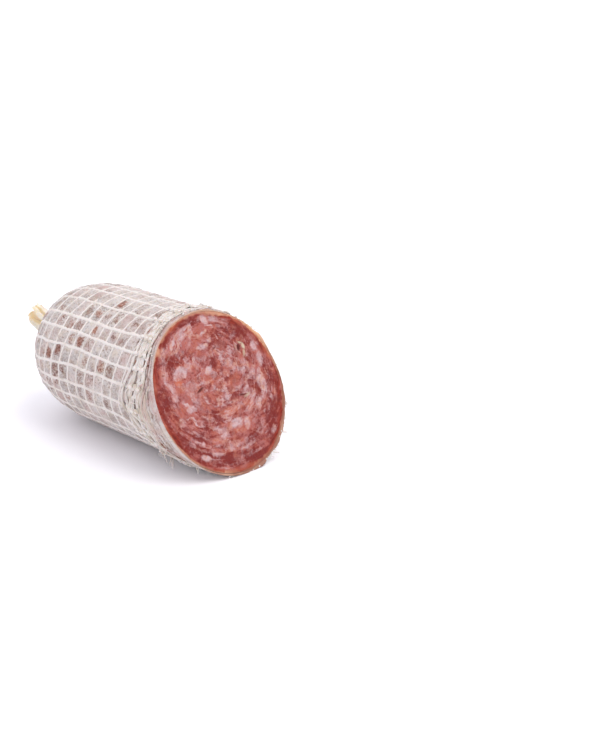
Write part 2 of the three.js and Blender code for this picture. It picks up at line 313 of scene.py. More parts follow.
def midway(place):
    """0 at whole numbers of meshes, and 1 halfway between them."""
    return np.abs(np.sin(np.pi * place))


def unit(vectors):
    """The vectors at length 1."""
    return vectors / np.maximum(np.linalg.norm(vectors, axis=-1, keepdims=True), 1e-12)


# The body's form


class Skin:
    """The casing's outer surface, found by way along it from the middle of the cut and by angle."""

    STOCK = 40 * MM  # modelled ahead of the middle of the cut face
    FUNNEL_FROM = 15 * MM  # radius where the dome turns into the neck

    def __init__(self, body, net):
        self.body = body
        self.net = net
        meat_low, meat_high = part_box("meat")
        inset = 2 * body.casing_thickness + SOLID_GAP  # of the meat's closed end
        self.face_x = meat_low.x + body.length - inset
        self.middle_y = (meat_low.y + meat_high.y) / 2
        self.half_mesh = math.cos(math.pi / net.strings)
        self.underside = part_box("casing")[0].z
        back = np.arange(-self.STOCK, body.length, 0.1 * MM)
        radius = self.plain_radius(back)
        kept = radius > self.FUNNEL_FROM
        back, radius = self.with_neck(back[kept], radius[kept])
        step = np.hypot(np.diff(back), np.diff(radius))
        self.way = np.concatenate([[0], np.cumsum(step)]) - self.STOCK
        self.back = back
        self.radius = radius
        slope_back = np.gradient(back, self.way)
        slope_radius = np.gradient(radius, self.way)
        size = np.hypot(slope_back, slope_radius)
        self.normal_back = -slope_radius / size
        self.normal_radius = slope_back / size
        self.neck_way = np.interp(body.length + 6 * MM, back[-60:], self.way[-60:])
        self.end_way = self.way[-1]

    def plain_radius(self, back):
        """Radius of the casing before it narrows to the neck."""
        b = self.body
        straight = b.casing_radius * (1 - b.taper * back)
        into = np.maximum(0, back - (b.length - b.dome_length)) / b.dome_length
        return straight * np.maximum(0, 1 - into**b.dome_power) ** (1 / b.dome_power)

    def with_neck(self, back, radius):
        """Adds the funnel and the neck behind the dome, as one smooth curve."""
        b = self.body
        corners = np.array([
            (back[-1], radius[-1]),
            (b.length + 0.2 * MM, 8.0 * MM),
            (b.length + 1.5 * MM, b.neck_radius + 0.2 * MM),
            (b.length + b.neck_length, b.neck_radius),
        ])
        t = np.linspace(0, 1, 81)[1:, None]
        curve = ((1 - t) ** 3 * corners[0] + 3 * t * (1 - t) ** 2 * corners[1]
                 + 3 * t * t * (1 - t) * corners[2] + t**3 * corners[3])
        return np.append(back, curve[:, 0]), np.append(radius, curve[:, 1])

    def middle_height(self, back):
        """Height of the body's middle line."""
        b = self.body
        level = np.minimum(back, b.length - b.dome_length)
        return self.underside + b.casing_radius * (1 - b.taper * level) * self.half_mesh

    def lump(self, way, angle):
        """How far the uneven body stands off its even form."""
        return self.body.lumps * noise(on_ring(angle, way * 0.7), 38 * MM, 5)

    def radius_at(self, way):
        """Radius of the even skin."""
        return np.interp(way, self.way, self.radius)

    def place(self, back, radius, angle, middle):
        """Points so far back and so far out from the middle line, at its given height."""
        return np.stack([self.face_x - back, self.middle_y + radius * np.cos(angle),
                         middle + radius * np.sin(angle)], -1)

    def at(self, way, angle, lift=0.0):
        """Points on the skin, or lifted off it along its normal."""
        way, angle = np.broadcast_arrays(np.asarray(way, float), angle)
        back = np.interp(way, self.way, self.back)
        radius = self.radius_at(way)
        raised = lift + self.lump(way, angle) * smooth(0, 30 * MM, radius)
        middle = self.middle_height(back)
        back = back + raised * np.interp(way, self.way, self.normal_back)
        radius = radius + raised * np.interp(way, self.way, self.normal_radius)
        return self.place(back, radius, angle, middle)

    def normal(self, way, angle):
        """The direction straight off the skin."""
        nb = np.interp(way, self.way, self.normal_back)
        nr = np.interp(way, self.way, self.normal_radius)
        return unit(np.stack([-nb, nr * np.cos(angle), nr * np.sin(angle)], axis=-1))

    def cut_slope(self, angle):
        """How far back the cut face lies for each metre out from its middle."""
        b = self.body
        return math.tan(b.cut_lean) * np.sin(angle) - math.tan(b.cut_turn) * np.cos(angle)

    def rim_thickness(self, angle):
        """How much of the skin shows at the cut: least on the -Y side."""
        return self.body.cut_thickness * (1 - 0.5 * self.hidden(angle))

    def thickness(self, angle, gap):
        """Thickness of the skin so far behind the cut."""
        at_rim = np.maximum(self.rim_thickness(angle), LEAST_SKIN)
        return at_rim + (self.body.casing_thickness - at_rim) * smooth(0, 8 * MM, gap)

    def rows(self, line, angle):
        """Ways and angles of rows of points: slanted like the cut, and straight further back."""
        way, turn = np.meshgrid(line, angle, indexing="ij")
        return way + self.cut_way(turn) * (1 - smooth(0, 75 * MM, way)), turn

    def hidden(self, angle):
        """Where the skin's cut edge is thin and flush with the meat, from 0 to 1."""
        return close_to(np.degrees(angle), 178, 36)

    # How far the skin's cut edge stands out from the meat: degrees round and millimetres
    FLARE = (
        (-135, 0), (-120, 0.4), (-105, 0.5), (-90, 0.9), (-75, 1.4), (-60, 1.5), (-48, 1.3),
        (-38, 0.5), (-20, 0), (20, 0), (27, 0.7), (33, 1.2), (41, 0.8), (50, 0.1), (60, 0),
    )
    # How browned the rim is: degrees round, then 0 for golden, 0.5 for tan and 1 for brown
    BROWNING = (
        (-135, 0.5), (-120, 0.85), (-105, 0.75), (-90, 1), (-75, 0.9), (-60, 0.95), (-45, 0.9),
        (-30, 1), (-15, 0.95), (0, 0.95), (12, 0.6), (30, 0), (50, 0.05), (65, 0.35), (80, 0.5),
    )

    def flare(self, angle):
        """How far the skin's cut edge stands out from the meat."""
        ring = on_ring(angle)
        ragged = 1 + 0.5 * noise(ring, 5 * MM, 31) + 0.3 * noise(ring, 2 * MM, 32)
        return from_table(self.FLARE, np.degrees(angle)) * ragged * MM

    def browning(self, angle):
        """How browned the rim is, from 0 for golden to 1 for brown."""
        tone = from_table(self.BROWNING, np.degrees(angle))
        return np.clip(tone + 0.2 * noise(on_ring(angle), 4 * MM, 33), 0, 1)

    def cut_way(self, angle):
        """How far back along the skin the cut face meets it."""
        return self.body.casing_radius * self.cut_slope(angle)


class NetPattern:
    """Where the strings and hoops of the net run over the skin."""

    # Where the strings that show best lie at mid length, and how far that is past an even
    # spacing, in degrees
    STRING_DRIFT = (
        (60, 0), (84, 1), (98.5, 1.6), (113.5, 2.7), (131.5, 6.9), (144.5, 6), (157, 4.7),
        (170.5, 4.3), (185, 5), (198, 4.2), (213, 5.3), (228, 3), (250, 0),
    )
    # Places where the net is pulled askew: millimetres along, degrees round, pull in degrees,
    # reach in millimetres and in degrees
    PULLS = (
        (145, 178, 5.5, 30, 22), (27, 203, 7, 14, 14), (24, 160, -4, 10, 12),
        (60, 300, 6, 30, 25), (120, 20, -6, 35, 25),
    )

    # Folds of the bare strip: share of the way to the net's edge, depth in millimetres, and a
    # number that sets its course
    # The depth also sets how dark the fold's valley is painted as shade.
    FOLDS = ((0.42, 0.8, 43), (0.68, 0.6, 44), (0.88, 0.8, 45), (0.2, 0.35, 46), (0.56, 0.5, 62))
    # Gaps between the cords of the edge, from and to: millimetres along and degrees round, then
    # half the gap in millimetres
    # The casing in these gaps is also painted dark brown as shade, partly the brown of the bare
    # skin there
    SLOTS = (
        (36.5, 112, 34.8, 127, 0.8), (38, 130, 36.5, 143, 0.8), (31, 98, 30.5, 111, 0.6),
        (28.2, 133, 26.8, 146, 0.7), (31.8, 149, 30.5, 161, 0.9), (24, 138, 20.5, 170, 0.8),
        (26.5, 166, 27.5, 182, 0.6), (33, 170, 31.5, 182, 0.7), (20.5, 190, 18.5, 204, 0.8),
        (18, 205, 13, 216, 0.8), (25.5, 191, 20, 207, 0.7), (10.5, 211, -4.5, 242, 1.3),
        (15, 222, 5, 240, 0.5), (30.5, 70, 31.5, 90, 0.6), (27.5, 40, 29.5, 60, 0.7),
        (22, 15, 25.5, 32, 0.7), (12, 345, 17.5, 360, 0.8), (0.5, 300, 5, 320, 0.7),
        (-9, 270, -6, 288, 0.6),
    )

    def __init__(self, skin):
        self.skin = skin
        self.net = skin.net
        self.step = FULL_TURN / self.net.strings
        self.last_hoop_way = float(np.interp(
            -13 * MM, -skin.radius[skin.way > 0], skin.way[skin.way > 0]))

    def edge(self, angle):
        """How far behind the cut the net's edge lies."""
        n = self.net
        degrees = np.degrees(angle)
        near = np.exp(-(np.maximum(np.abs(turned_off(degrees, 206)) - 14, 0) / 27) ** 2)
        far = close_to(degrees, 355, 40)
        uneven = 1.3 * MM * noise(on_ring(angle), 19 * MM, 41)
        return (n.edge_setback + (n.edge_setback_near - n.edge_setback) * near
                + (n.edge_setback_far - n.edge_setback) * far + uneven)

    def front(self, angle):
        """How far along the skin the net's edge lies."""
        return self.skin.cut_way(angle) + self.edge(angle)

    def wander(self, way, angle):
        """How far, in meshes, the net is drawn out of its even place, round and along."""
        around = on_ring(angle, way)
        rounds = 0.07 * noise(around, 24 * MM, 51) + 0.05 * noise(around, 9 * MM, 52)
        along = 0.09 * noise(around, 20 * MM, 53) + 0.06 * noise(around, 8 * MM, 54)
        degrees = np.degrees(angle)
        drift = from_table(self.STRING_DRIFT, degrees)
        for back, middle, pull, reach, spread in self.PULLS:
            drift = drift + pull * np.exp(-((way / MM - back) / reach) ** 2
                                          - (turned_off(degrees, middle) / spread) ** 2)
        rounds = rounds - np.radians(drift) / self.step
        tilt = self.net.hoop_tilt * np.sin(angle - math.radians(150))
        return rounds, along - tilt / self.net.pitch

    def meshes(self, way, angle):
        """Place in meshes round and along, and how far inside the net's edge it is."""
        cut = self.skin.cut_way(angle)
        gap = way - cut
        edge = self.edge(angle)
        rest = np.cbrt(np.maximum(gap**3 - edge**3, 0))
        rounds, along = self.wander(way, angle)
        round_place = (angle + UP) / self.step - 0.5 + rounds
        along_place = (cut + rest) / self.net.pitch + along
        inside = smooth(-1.5 * MM, 3 * MM, gap - edge)
        return round_place, along_place, inside

    def string_angle(self, index, way):
        """Angle of a lengthways string at each way."""
        even = (index + 0.5) * self.step - UP
        angle = np.full_like(way, even)
        for _ in range(4):
            angle = even - self.wander(way, angle)[0] * self.step
        return angle

    def hoop_way(self, index, angle):
        """Way of a hoop at each angle, and how much of the net lay ahead of it before the cut."""
        cut = self.skin.cut_way(angle)
        edge = self.edge(angle)
        along = np.zeros_like(angle)
        for _ in range(4):
            ahead = (index - along) * self.net.pitch - cut
            way = cut + np.cbrt(np.maximum(ahead, 0) ** 3 + edge**3)
            along = self.wander(way, angle)[1]
        return way, ahead

    def relief(self, way, angle):
        """How far the casing stands off its even skin: grooved by strings, swollen between."""
        n = self.net
        round_place, along_place, inside = self.meshes(way, angle)
        radius = self.skin.radius_at(way)
        roundness = midway(round_place) * midway(along_place)
        own = cell_random(np.floor(round_place), np.floor(along_place), seed=3)
        inside = inside * smooth(8 * MM, 26 * MM, radius)
        inside = inside * (1 - smooth(-6 * MM, 6 * MM, way - self.last_hoop_way))
        filled = roundness**0.45
        height = -n.sink + (n.sink + n.swell * (0.5 + own)) * filled
        under_cords = plateau(way - self.front(angle), -1 * MM, 1 * MM, 9 * MM, 13 * MM)
        height = height * (1 - under_cords) + 0.25 * MM * under_cords
        return height * inside - 0.35 * MM * self.slots(way, angle)[0]

    def bare_strip(self, way, angle):
        """Folds of the bare casing between the cut and the net's edge, and how dark to paint the
        shade in their valleys and creases.
        """
        gap = way - self.skin.cut_way(angle)
        edge = self.edge(angle)
        around = on_ring(angle, 0 * way)
        here = smooth(0.5 * MM, 2.0 * MM, gap) * (1 - smooth(0, 5 * MM, gap - edge))
        height = 0 * gap
        shade = 0 * gap
        for share, deep, seed in self.FOLDS:
            middle = edge * share + 1.2 * MM * layered_noise(around, 15 * MM, 2, seed)
            strength = smooth(-0.5, 0.3, noise(around, 22 * MM, seed + 5))
            valley = np.exp(-((gap - middle) / (0.42 * MM)) ** 2) * strength
            ridge = np.exp(-((gap - middle - 1.1 * MM) / (0.8 * MM)) ** 2) * strength
            height = height + (0.6 * deep * ridge - deep * valley) * MM
            shade = np.maximum(shade, deep * valley)
        drawn = around * np.array([1, 0.2, 0.2]) + gap[..., None] * np.array([1, 0, 0])
        lines = noise(drawn, 2.3 * MM, 48) + 0.35 * noise(drawn, 1.1 * MM, 49)
        crease = (1 - smooth(0.0, 0.3, np.abs(lines))) * smooth(0.2, 0.5, gap / edge)
        height = height + (0.3 * layered_noise(drawn, 3.4 * MM, 3, 47) - 0.3 * crease) * MM
        shade = np.maximum(shade, 0.75 * crease)
        return height * here, shade * here

    def slots(self, way, angle, reach=0.6 * MM):
        """Dark gaps between the cords of the pushed-back edge: how far in one a place is, and
        how far a cord is pressed aside there that reaches so far to either side."""
        inside = 0 * way
        aside = 0 * way
        degrees = np.degrees(np.mod(angle, FULL_TURN))
        for from_way, from_round, to_way, to_round, half in self.SLOTS:
            t = (degrees - from_round) / (to_round - from_round)
            there = plateau(t, -0.15, 0.12, 0.88, 1.15)
            off = way / MM - (from_way + (to_way - from_way) * np.clip(t, 0, 1))
            inside = np.maximum(inside, there * min(1.5, half / 0.75) * np.exp(-(off / half) ** 2))
            push = np.tanh(off / 0.35) * np.maximum(0, half + reach / MM - np.abs(off))
            aside = aside + there * push * MM
        return inside, aside


def wrinkles(points):
    """Fine wrinkles of the dried skin, drawn out along the body."""
    stretched = points * np.array([0.55, 1, 1])
    soft = 0.22 * MM * layered_noise(stretched, 5 * MM, 3, 61)
    ridged = 0.16 * MM * (1 - 2 * np.abs(noise(stretched, 2.6 * MM, 63)))
    return soft + ridged


# Mesh making


class Weave:
    """Collects tubes and plates of one object before its mesh is made."""

    def __init__(self):
        self.points = []
        self.faces = []
        self.tints = []
        self.count = 0

    def add(self, points, faces, tint):
        """Adds points and the faces between them."""
        points = np.asarray(points, float).reshape(-1, 3)
        self.points.append(points)
        self.faces.extend((np.asarray(faces) + self.count).tolist())
        self.tints.append(np.broadcast_to(np.asarray(tint, float), len(points)))
        self.count += len(points)

    def tube(self, path, out, width, height, sides, lobes, pitch, depth, tint, closed=False,
             phase=0.0):
        """A string along a path: flat to its out direction, with twisted or knitted relief."""
        path = np.asarray(path, float)
        n = len(path)
        if closed:
            along = np.roll(path, -1, 0) - np.roll(path, 1, 0)
        else:
            along = np.gradient(path, axis=0)
        along = unit(along)
        side = unit(np.cross(along, out))
        out = np.cross(side, along)
        run = np.concatenate([[0], np.cumsum(np.linalg.norm(np.diff(path, axis=0), axis=1))])
        turn = np.arange(sides) / sides * FULL_TURN
        width = np.broadcast_to(np.asarray(width, float), n)
        height = np.broadcast_to(np.asarray(height, float), n)
        swell = 1 + depth * np.cos(lobes * turn[None] - FULL_TURN * run[:, None] / pitch + phase)
        rings = (path[:, None]
                 + side[:, None] * (width[:, None] / 2 * np.cos(turn) * swell)[..., None]
                 + out[:, None] * (height[:, None] / 2 * np.sin(turn) * swell)[..., None])
        rings[..., 2] = np.maximum(rings[..., 2], FLOOR_GAP)
        last = n if closed else n - 1
        i = np.arange(last)[:, None]
        j = np.arange(sides)[None]
        nxt = (i + 1) % n
        turned = (j + 1) % sides
        faces = np.stack([i * sides + j, i * sides + turned, nxt * sides + turned,
                          nxt * sides + j], -1).reshape(-1, 4)
        base = self.count
        self.add(rings, faces, np.repeat(np.broadcast_to(tint, n), sides))
        if not closed:
            self.faces.append([base + k for k in range(sides)][::-1])
            self.faces.append([base + (n - 1) * sides + k for k in range(sides)])

    def lay(self, skin, way, angle, lift, width, height, **knit):
        """A string laid on the skin, pressed flat where it meets the floor."""
        path = press_on_floor(skin.at(way, angle, lift), 0.6 * MM)
        self.tube(path, skin.normal(way, angle), width, height, **knit)

    def make(self, name, material):
        """The finished object."""
        return make_object(name, np.concatenate(self.points), self.faces, material,
                           {"tint": np.concatenate(self.tints)})


def make_object(name, points, faces, material, values=None):
    """A smooth-shaded object from points, faces and named values for each point."""
    mesh = bpy.data.meshes.new(name)
    mesh.from_pydata(np.asarray(points).tolist(), [], faces)
    for key, value in (values or {}).items():
        kind, field = ("FLOAT", "value") if np.ndim(value) == 1 else ("FLOAT_VECTOR", "vector")
        layer = mesh.attributes.new(key, kind, "POINT")
        layer.data.foreach_set(field, np.ascontiguousarray(value, np.float32).ravel())
    mesh.polygons.foreach_set("use_smooth", np.ones(len(mesh.polygons), bool))
    mesh.update()
    mesh.validate()
    made = bpy.data.objects.new(name, mesh)
    mesh.materials.append(material)
    bpy.context.scene.collection.objects.link(made)
    return made


def grid_faces(rows, columns):
    """Quads between rows of points, with the last column joined to the first."""
    i = np.arange(rows - 1)[:, None]
    j = np.arange(columns)[None]
    k = (j + 1) % columns
    return np.stack([i * columns + j, i * columns + k, (i + 1) * columns + k,
                     (i + 1) * columns + j], -1).reshape(-1, 4)


def band(first, second):
    """Quads between two rings of points, given by their numbers."""
    return np.stack([first, np.roll(first, -1), np.roll(second, -1), second], -1)


def press_on_floor(points, softness):
    """Lets points sink to the floor and no further, softly."""
    z = points[..., 2]
    low = z < softness
    points[..., 2] = np.where(low, softness * np.exp(np.minimum(z / softness - 1, 0)) * 0.999, z)
    return points


# Materials


class Finish:
    """Builds one node material, a line for each node."""

    def __init__(self, name):
        self.material = bpy.data.materials.new(name)
        self.material.use_nodes = True
        self.tree = self.material.node_tree
        self.shader = self.tree.nodes["Principled BSDF"]
        self.place = self.node("ShaderNodeTexCoord").outputs["Object"]

    def node(self, kind, **options):
        """A node with its options set."""
        made = self.tree.nodes.new(kind)
        for key, value in options.items():
            setattr(made, key, value)
        return made

    def fill(self, socket, value):
        """Links a socket or sets it to a plain value."""
        if isinstance(value, bpy.types.NodeSocket):
            self.tree.links.new(value, socket)
        elif hasattr(socket.default_value, "__len__") and len(socket.default_value) == 4:
            socket.default_value = (*tuple(value)[:3], 1)
        else:
            socket.default_value = value

    def put(self, node, **values):
        """Fills a node's inputs, whose names have a low line for each space."""
        for key, value in values.items():
            self.fill(node.inputs[key.replace("_", " ")], value)

    def value(self, name):
        """A value kept on the mesh."""
        return self.node("ShaderNodeAttribute", attribute_name=name).outputs["Fac"]

    def speckle(self, size, detail, rough, stretch=(1, 1, 1), twist=0.0, course=None):
        """Noise whose features are about the given size, from 0 to 1; it follows a course that
        is kept on the mesh where one is named."""
        mapping = self.node("ShaderNodeMapping")
        place = self.place
        if course is not None:
            place = self.node("ShaderNodeAttribute", attribute_name=course).outputs["Vector"]
        self.put(mapping, Vector=place, Scale=stretch)
        made = self.node("ShaderNodeTexNoise")
        self.put(made, Vector=mapping.outputs["Vector"], Scale=1 / size, Detail=detail,
                 Roughness=rough, Distortion=twist)
        return made.outputs["Fac"]

    def spread(self, value, low, high, to_low=0.0, to_high=1.0):
        """Maps low..high smoothly to to_low..to_high."""
        made = self.node("ShaderNodeMapRange", interpolation_type="SMOOTHSTEP")
        self.put(made, Value=value, From_Min=low, From_Max=high, To_Min=to_low, To_Max=to_high)
        return made.outputs["Result"]

    def arithmetic(self, operation, first, second):
        """Arithmetic on two values."""
        made = self.node("ShaderNodeMath", operation=operation)
        self.fill(made.inputs[0], first)
        self.fill(made.inputs[1], second)
        return made.outputs["Value"]

    def plus(self, first, second):
        """The sum of two values."""
        return self.arithmetic("ADD", first, second)

    def times(self, first, second):
        """The product of two values."""
        return self.arithmetic("MULTIPLY", first, second)

    def swing(self, value, amount):
        """A value from 0 to 1 as a swing to either side of 0."""
        return self.times(self.arithmetic("SUBTRACT", value, 0.5), amount)

    def mix(self, share, first, second, blend="MIX"):
        """A mix of two colours."""
        made = self.node("ShaderNodeMix", data_type="RGBA", blend_type=blend)
        self.fill(made.inputs["Factor"], share)
        self.fill(made.inputs[6], first)
        self.fill(made.inputs[7], second)
        return made.outputs[2]

    def tinged(self, colour, hue, reach, warm, cool):
        """The colour made warmer in some places and cooler in others."""
        colour = self.mix(self.spread(hue, 0.49, 0.5 + reach), colour, warm, "MULTIPLY")
        return self.mix(self.spread(hue, 0.5 - reach, 0.51, 1, 0), colour, cool, "MULTIPLY")

    def bump(self, height, distance, strength):
        """A fine relief that only the light sees."""
        made = self.node("ShaderNodeBump")
        self.put(made, Height=height, Distance=distance, Strength=strength)
        return made.outputs["Normal"]

    def finish(self, colour, roughness, **others):
        """Sets the shader and gives the material."""
        self.put(self.shader, Base_Color=colour, Roughness=roughness, **others)
        return self.material


def scaled(colour, *factors):
    """A colour times one factor, or with a factor for each of its parts."""
    each = factors * 3 if len(factors) == 1 else factors
    return [min(1, part * factor) for part, factor in zip(colour, each)]


def meat_finish(settings):
    """Ground cured meat: lean, fat, fine smears, a dried rim, glassy orange patches."""
    f = Finish("cured_meat")
    fibre = f.speckle(2.1 * MM, 5, 0.68, twist=0.9)
    fine = f.speckle(0.6 * MM, 3, 0.6)
    strand = f.speckle(1.0 * MM, 4, 0.6, twist=0.5, course="flow")
    shift = f.plus(f.swing(fibre, 2.1), f.swing(strand, 1.3))
    tone = f.plus(f.value("tone"), shift)
    lean = f.mix(f.spread(tone, 0.05, 1.05), settings.lean_colour, settings.dark_colour)
    smear = f.times(f.value("smear"), f.spread(fine, 0.4, 0.7, 0.6, 1.2))
    lean = f.mix(smear, lean, settings.smear_colour)
    white_fat = scaled(settings.fat_colour, 1.12, 1.22, 1.24)
    fat_tone = f.mix(f.spread(fine, 0.35, 0.7), settings.fat_colour, white_fat)
    fatty = f.arithmetic("SUBTRACT", f.value("fat"), f.times(shift, 0.6))
    colour = f.mix(f.spread(fatty, 0.0, 1.1, 0, 0.97), lean, fat_tone)
    dark_rim = scaled(settings.rim_colour, 0.54, 0.4, 0.45)
    rim_tone = f.mix(f.spread(strand, 0.38, 0.62), settings.rim_colour, dark_rim)
    colour = f.mix(f.value("rim"), colour, rim_tone)
    hue = f.speckle(6 * MM, 5, 0.72, twist=0.6)
    colour = f.tinged(colour, hue, 0.10, (1.0, 0.89, 0.74), (0.90, 0.965, 1.0))
    glassy = f.times(f.value("warm"), f.spread(strand, 0.3, 0.62))
    colour = f.mix(glassy, colour, settings.warm_colour)
    colour = f.mix(f.value("crust"), colour, browned_rim(f, settings.crust_colour))
    colour = f.mix(f.value("cream"), colour, settings.cream_colour)
    # Painted shade: the hollows are painted near black, beside their real relief
    colour = f.mix(f.value("pit"), colour, scaled(settings.dark_colour, 0.45))
    normal = f.bump(f.speckle(0.9 * MM, 4, 0.6), 0.25 * MM, 0.6)
    rough = f.spread(fine, 0.3, 0.7, 0.38, 0.55)
    return f.finish(colour, rough, Normal=normal, Specular_IOR_Level=0.17,
                    Subsurface_Weight=0.12, Subsurface_Scale=0.5 * MM,
                    Subsurface_Radius=(3.0, 1.0, 0.7))


def browned_rim(f, tan):
    """The rim's colour: golden, tan or brown."""
    golden = scaled(tan, 1.35, 1.3, 1.12)
    brown = scaled(tan, 0.6, 0.45, 0.42)
    colour = f.mix(f.spread(f.value("browned"), 0.0, 0.5), golden, tan)
    return f.mix(f.spread(f.value("browned"), 0.5, 1.0), colour, brown)


def casing_finish(settings):
    """Gut skin under patchy white mould, with the meat showing in places."""
    f = Finish("moulded_casing")
    patch = f.speckle(5 * MM, 4, 0.65)
    speck = f.speckle(1.5 * MM, 4, 0.7, twist=0.8)
    dust = f.speckle(0.5 * MM, 3, 0.7)
    tone = f.plus(f.value("tone"), f.swing(patch, 1.3))
    tone = f.plus(tone, f.swing(speck, 3.0))
    colour = f.mix(f.spread(tone, 0.0, 1.15), settings.mould_colour, settings.grey_colour)
    hue = f.speckle(4.5 * MM, 3, 0.6)
    colour = f.tinged(colour, hue, 0.12, (1.0, 0.965, 0.89), (0.96, 0.985, 1.0))
    blush = f.times(f.value("pink"), f.spread(patch, 0.3, 0.65))
    colour = f.mix(blush, colour, settings.pink_colour)
    # The bare value also carries painted shade under the net's edge, between its cords and in the
    # strip's folds and creases, so the bare colour paints that shade too
    bare = settings.bare_and_shade_colour
    under = f.mix(f.value("brown"), bare, scaled(bare, 2.1, 2.4, 1.9))
    under = f.mix(f.spread(dust, 0.48, 0.68), under, scaled(bare, 1.5, 2.0, 2.1))
    under = f.mix(f.spread(speck, 0.46, 0.66), under, scaled(bare, 0.55))
    bare_and_shade = f.plus(f.value("bare"), f.swing(speck, 2.2))
    bare_and_shade = f.plus(bare_and_shade, f.swing(patch, 1.2))
    colour = f.mix(f.spread(bare_and_shade, 0.15, 1.05), colour, under)
    dots = f.times(f.spread(f.speckle(1.25 * MM, 2, 0.5), 0.55, 0.63), f.value("dotted"))
    colour = f.mix(dots, colour, settings.dot_colour)
    powder = f.times(f.spread(dust, 0.52, 0.72), 0.30)
    colour = f.mix(powder, colour, scaled(settings.mould_colour, 1.12))
    colour = f.mix(f.value("edge"), colour, browned_rim(f, settings.edge_colour))
    normal = f.bump(f.speckle(0.8 * MM, 5, 0.7), 0.35 * MM, 0.8)
    return f.finish(colour, f.spread(speck, 0.3, 0.7, 0.78, 0.95), Normal=normal,
                    Specular_IOR_Level=0.2, Sheen_Weight=0.1, Sheen_Roughness=0.6,
                    Subsurface_Weight=0.05, Subsurface_Scale=0.5 * MM)


def string_finish(settings):
    """Cotton string: fine fibres, slightly soiled."""
    f = Finish("cotton_string")
    soil = f.speckle(7 * MM, 4, 0.6)
    fibre = f.speckle(0.35 * MM, 3, 0.7)
    soiled = f.plus(f.value("tint"), f.swing(soil, 2.2))
    colour = f.mix(f.spread(soiled, 0.15, 1.25), settings.colour, settings.shade_colour)
    colour = f.mix(f.spread(f.value("tint"), 1.1, 2.0), colour, settings.blush_colour)
    colour = f.mix(f.spread(fibre, 0.5, 0.75, 0, 0.3), colour, scaled(settings.colour, 1.12))
    normal = f.bump(fibre, 0.12 * MM, 0.8)
    return f.finish(colour, 0.92, Normal=normal, Specular_IOR_Level=0.15, Sheen_Weight=0.25,
                    Sheen_Roughness=0.5, Subsurface_Weight=0.08, Subsurface_Scale=0.4 * MM)


def tuft_finish(settings):
    """Dry gut: translucent amber with paler streaks, and painted shade in the hollows of its
    pleats.
    """
    f = Finish("dry_gut")
    gut = settings.tuft_colour
    streak = f.speckle(2.2 * MM, 5, 0.6, (0.35, 1, 1), 0.4)
    colour = f.mix(f.spread(streak, 0.35, 0.7), gut, scaled(gut, 1.12, 1.2, 1.45))
    # Painted shade: darker amber in the hollows of the pleats
    colour = f.mix(f.value("fold"), colour, scaled(gut, 0.88, 0.72, 0.5))
    normal = f.bump(f.speckle(1.0 * MM, 4, 0.6, (0.4, 1, 1)), 0.2 * MM, 0.7)
    return f.finish(colour, 0.5, Normal=normal, Specular_IOR_Level=0.4,
                    Subsurface_Weight=0.35, Subsurface_Scale=1.2 * MM,
                    Subsurface_Radius=(2.0, 1.2, 0.6))


# The meat


FACE_SQUARES = 280  # of the mesh, across the cut face

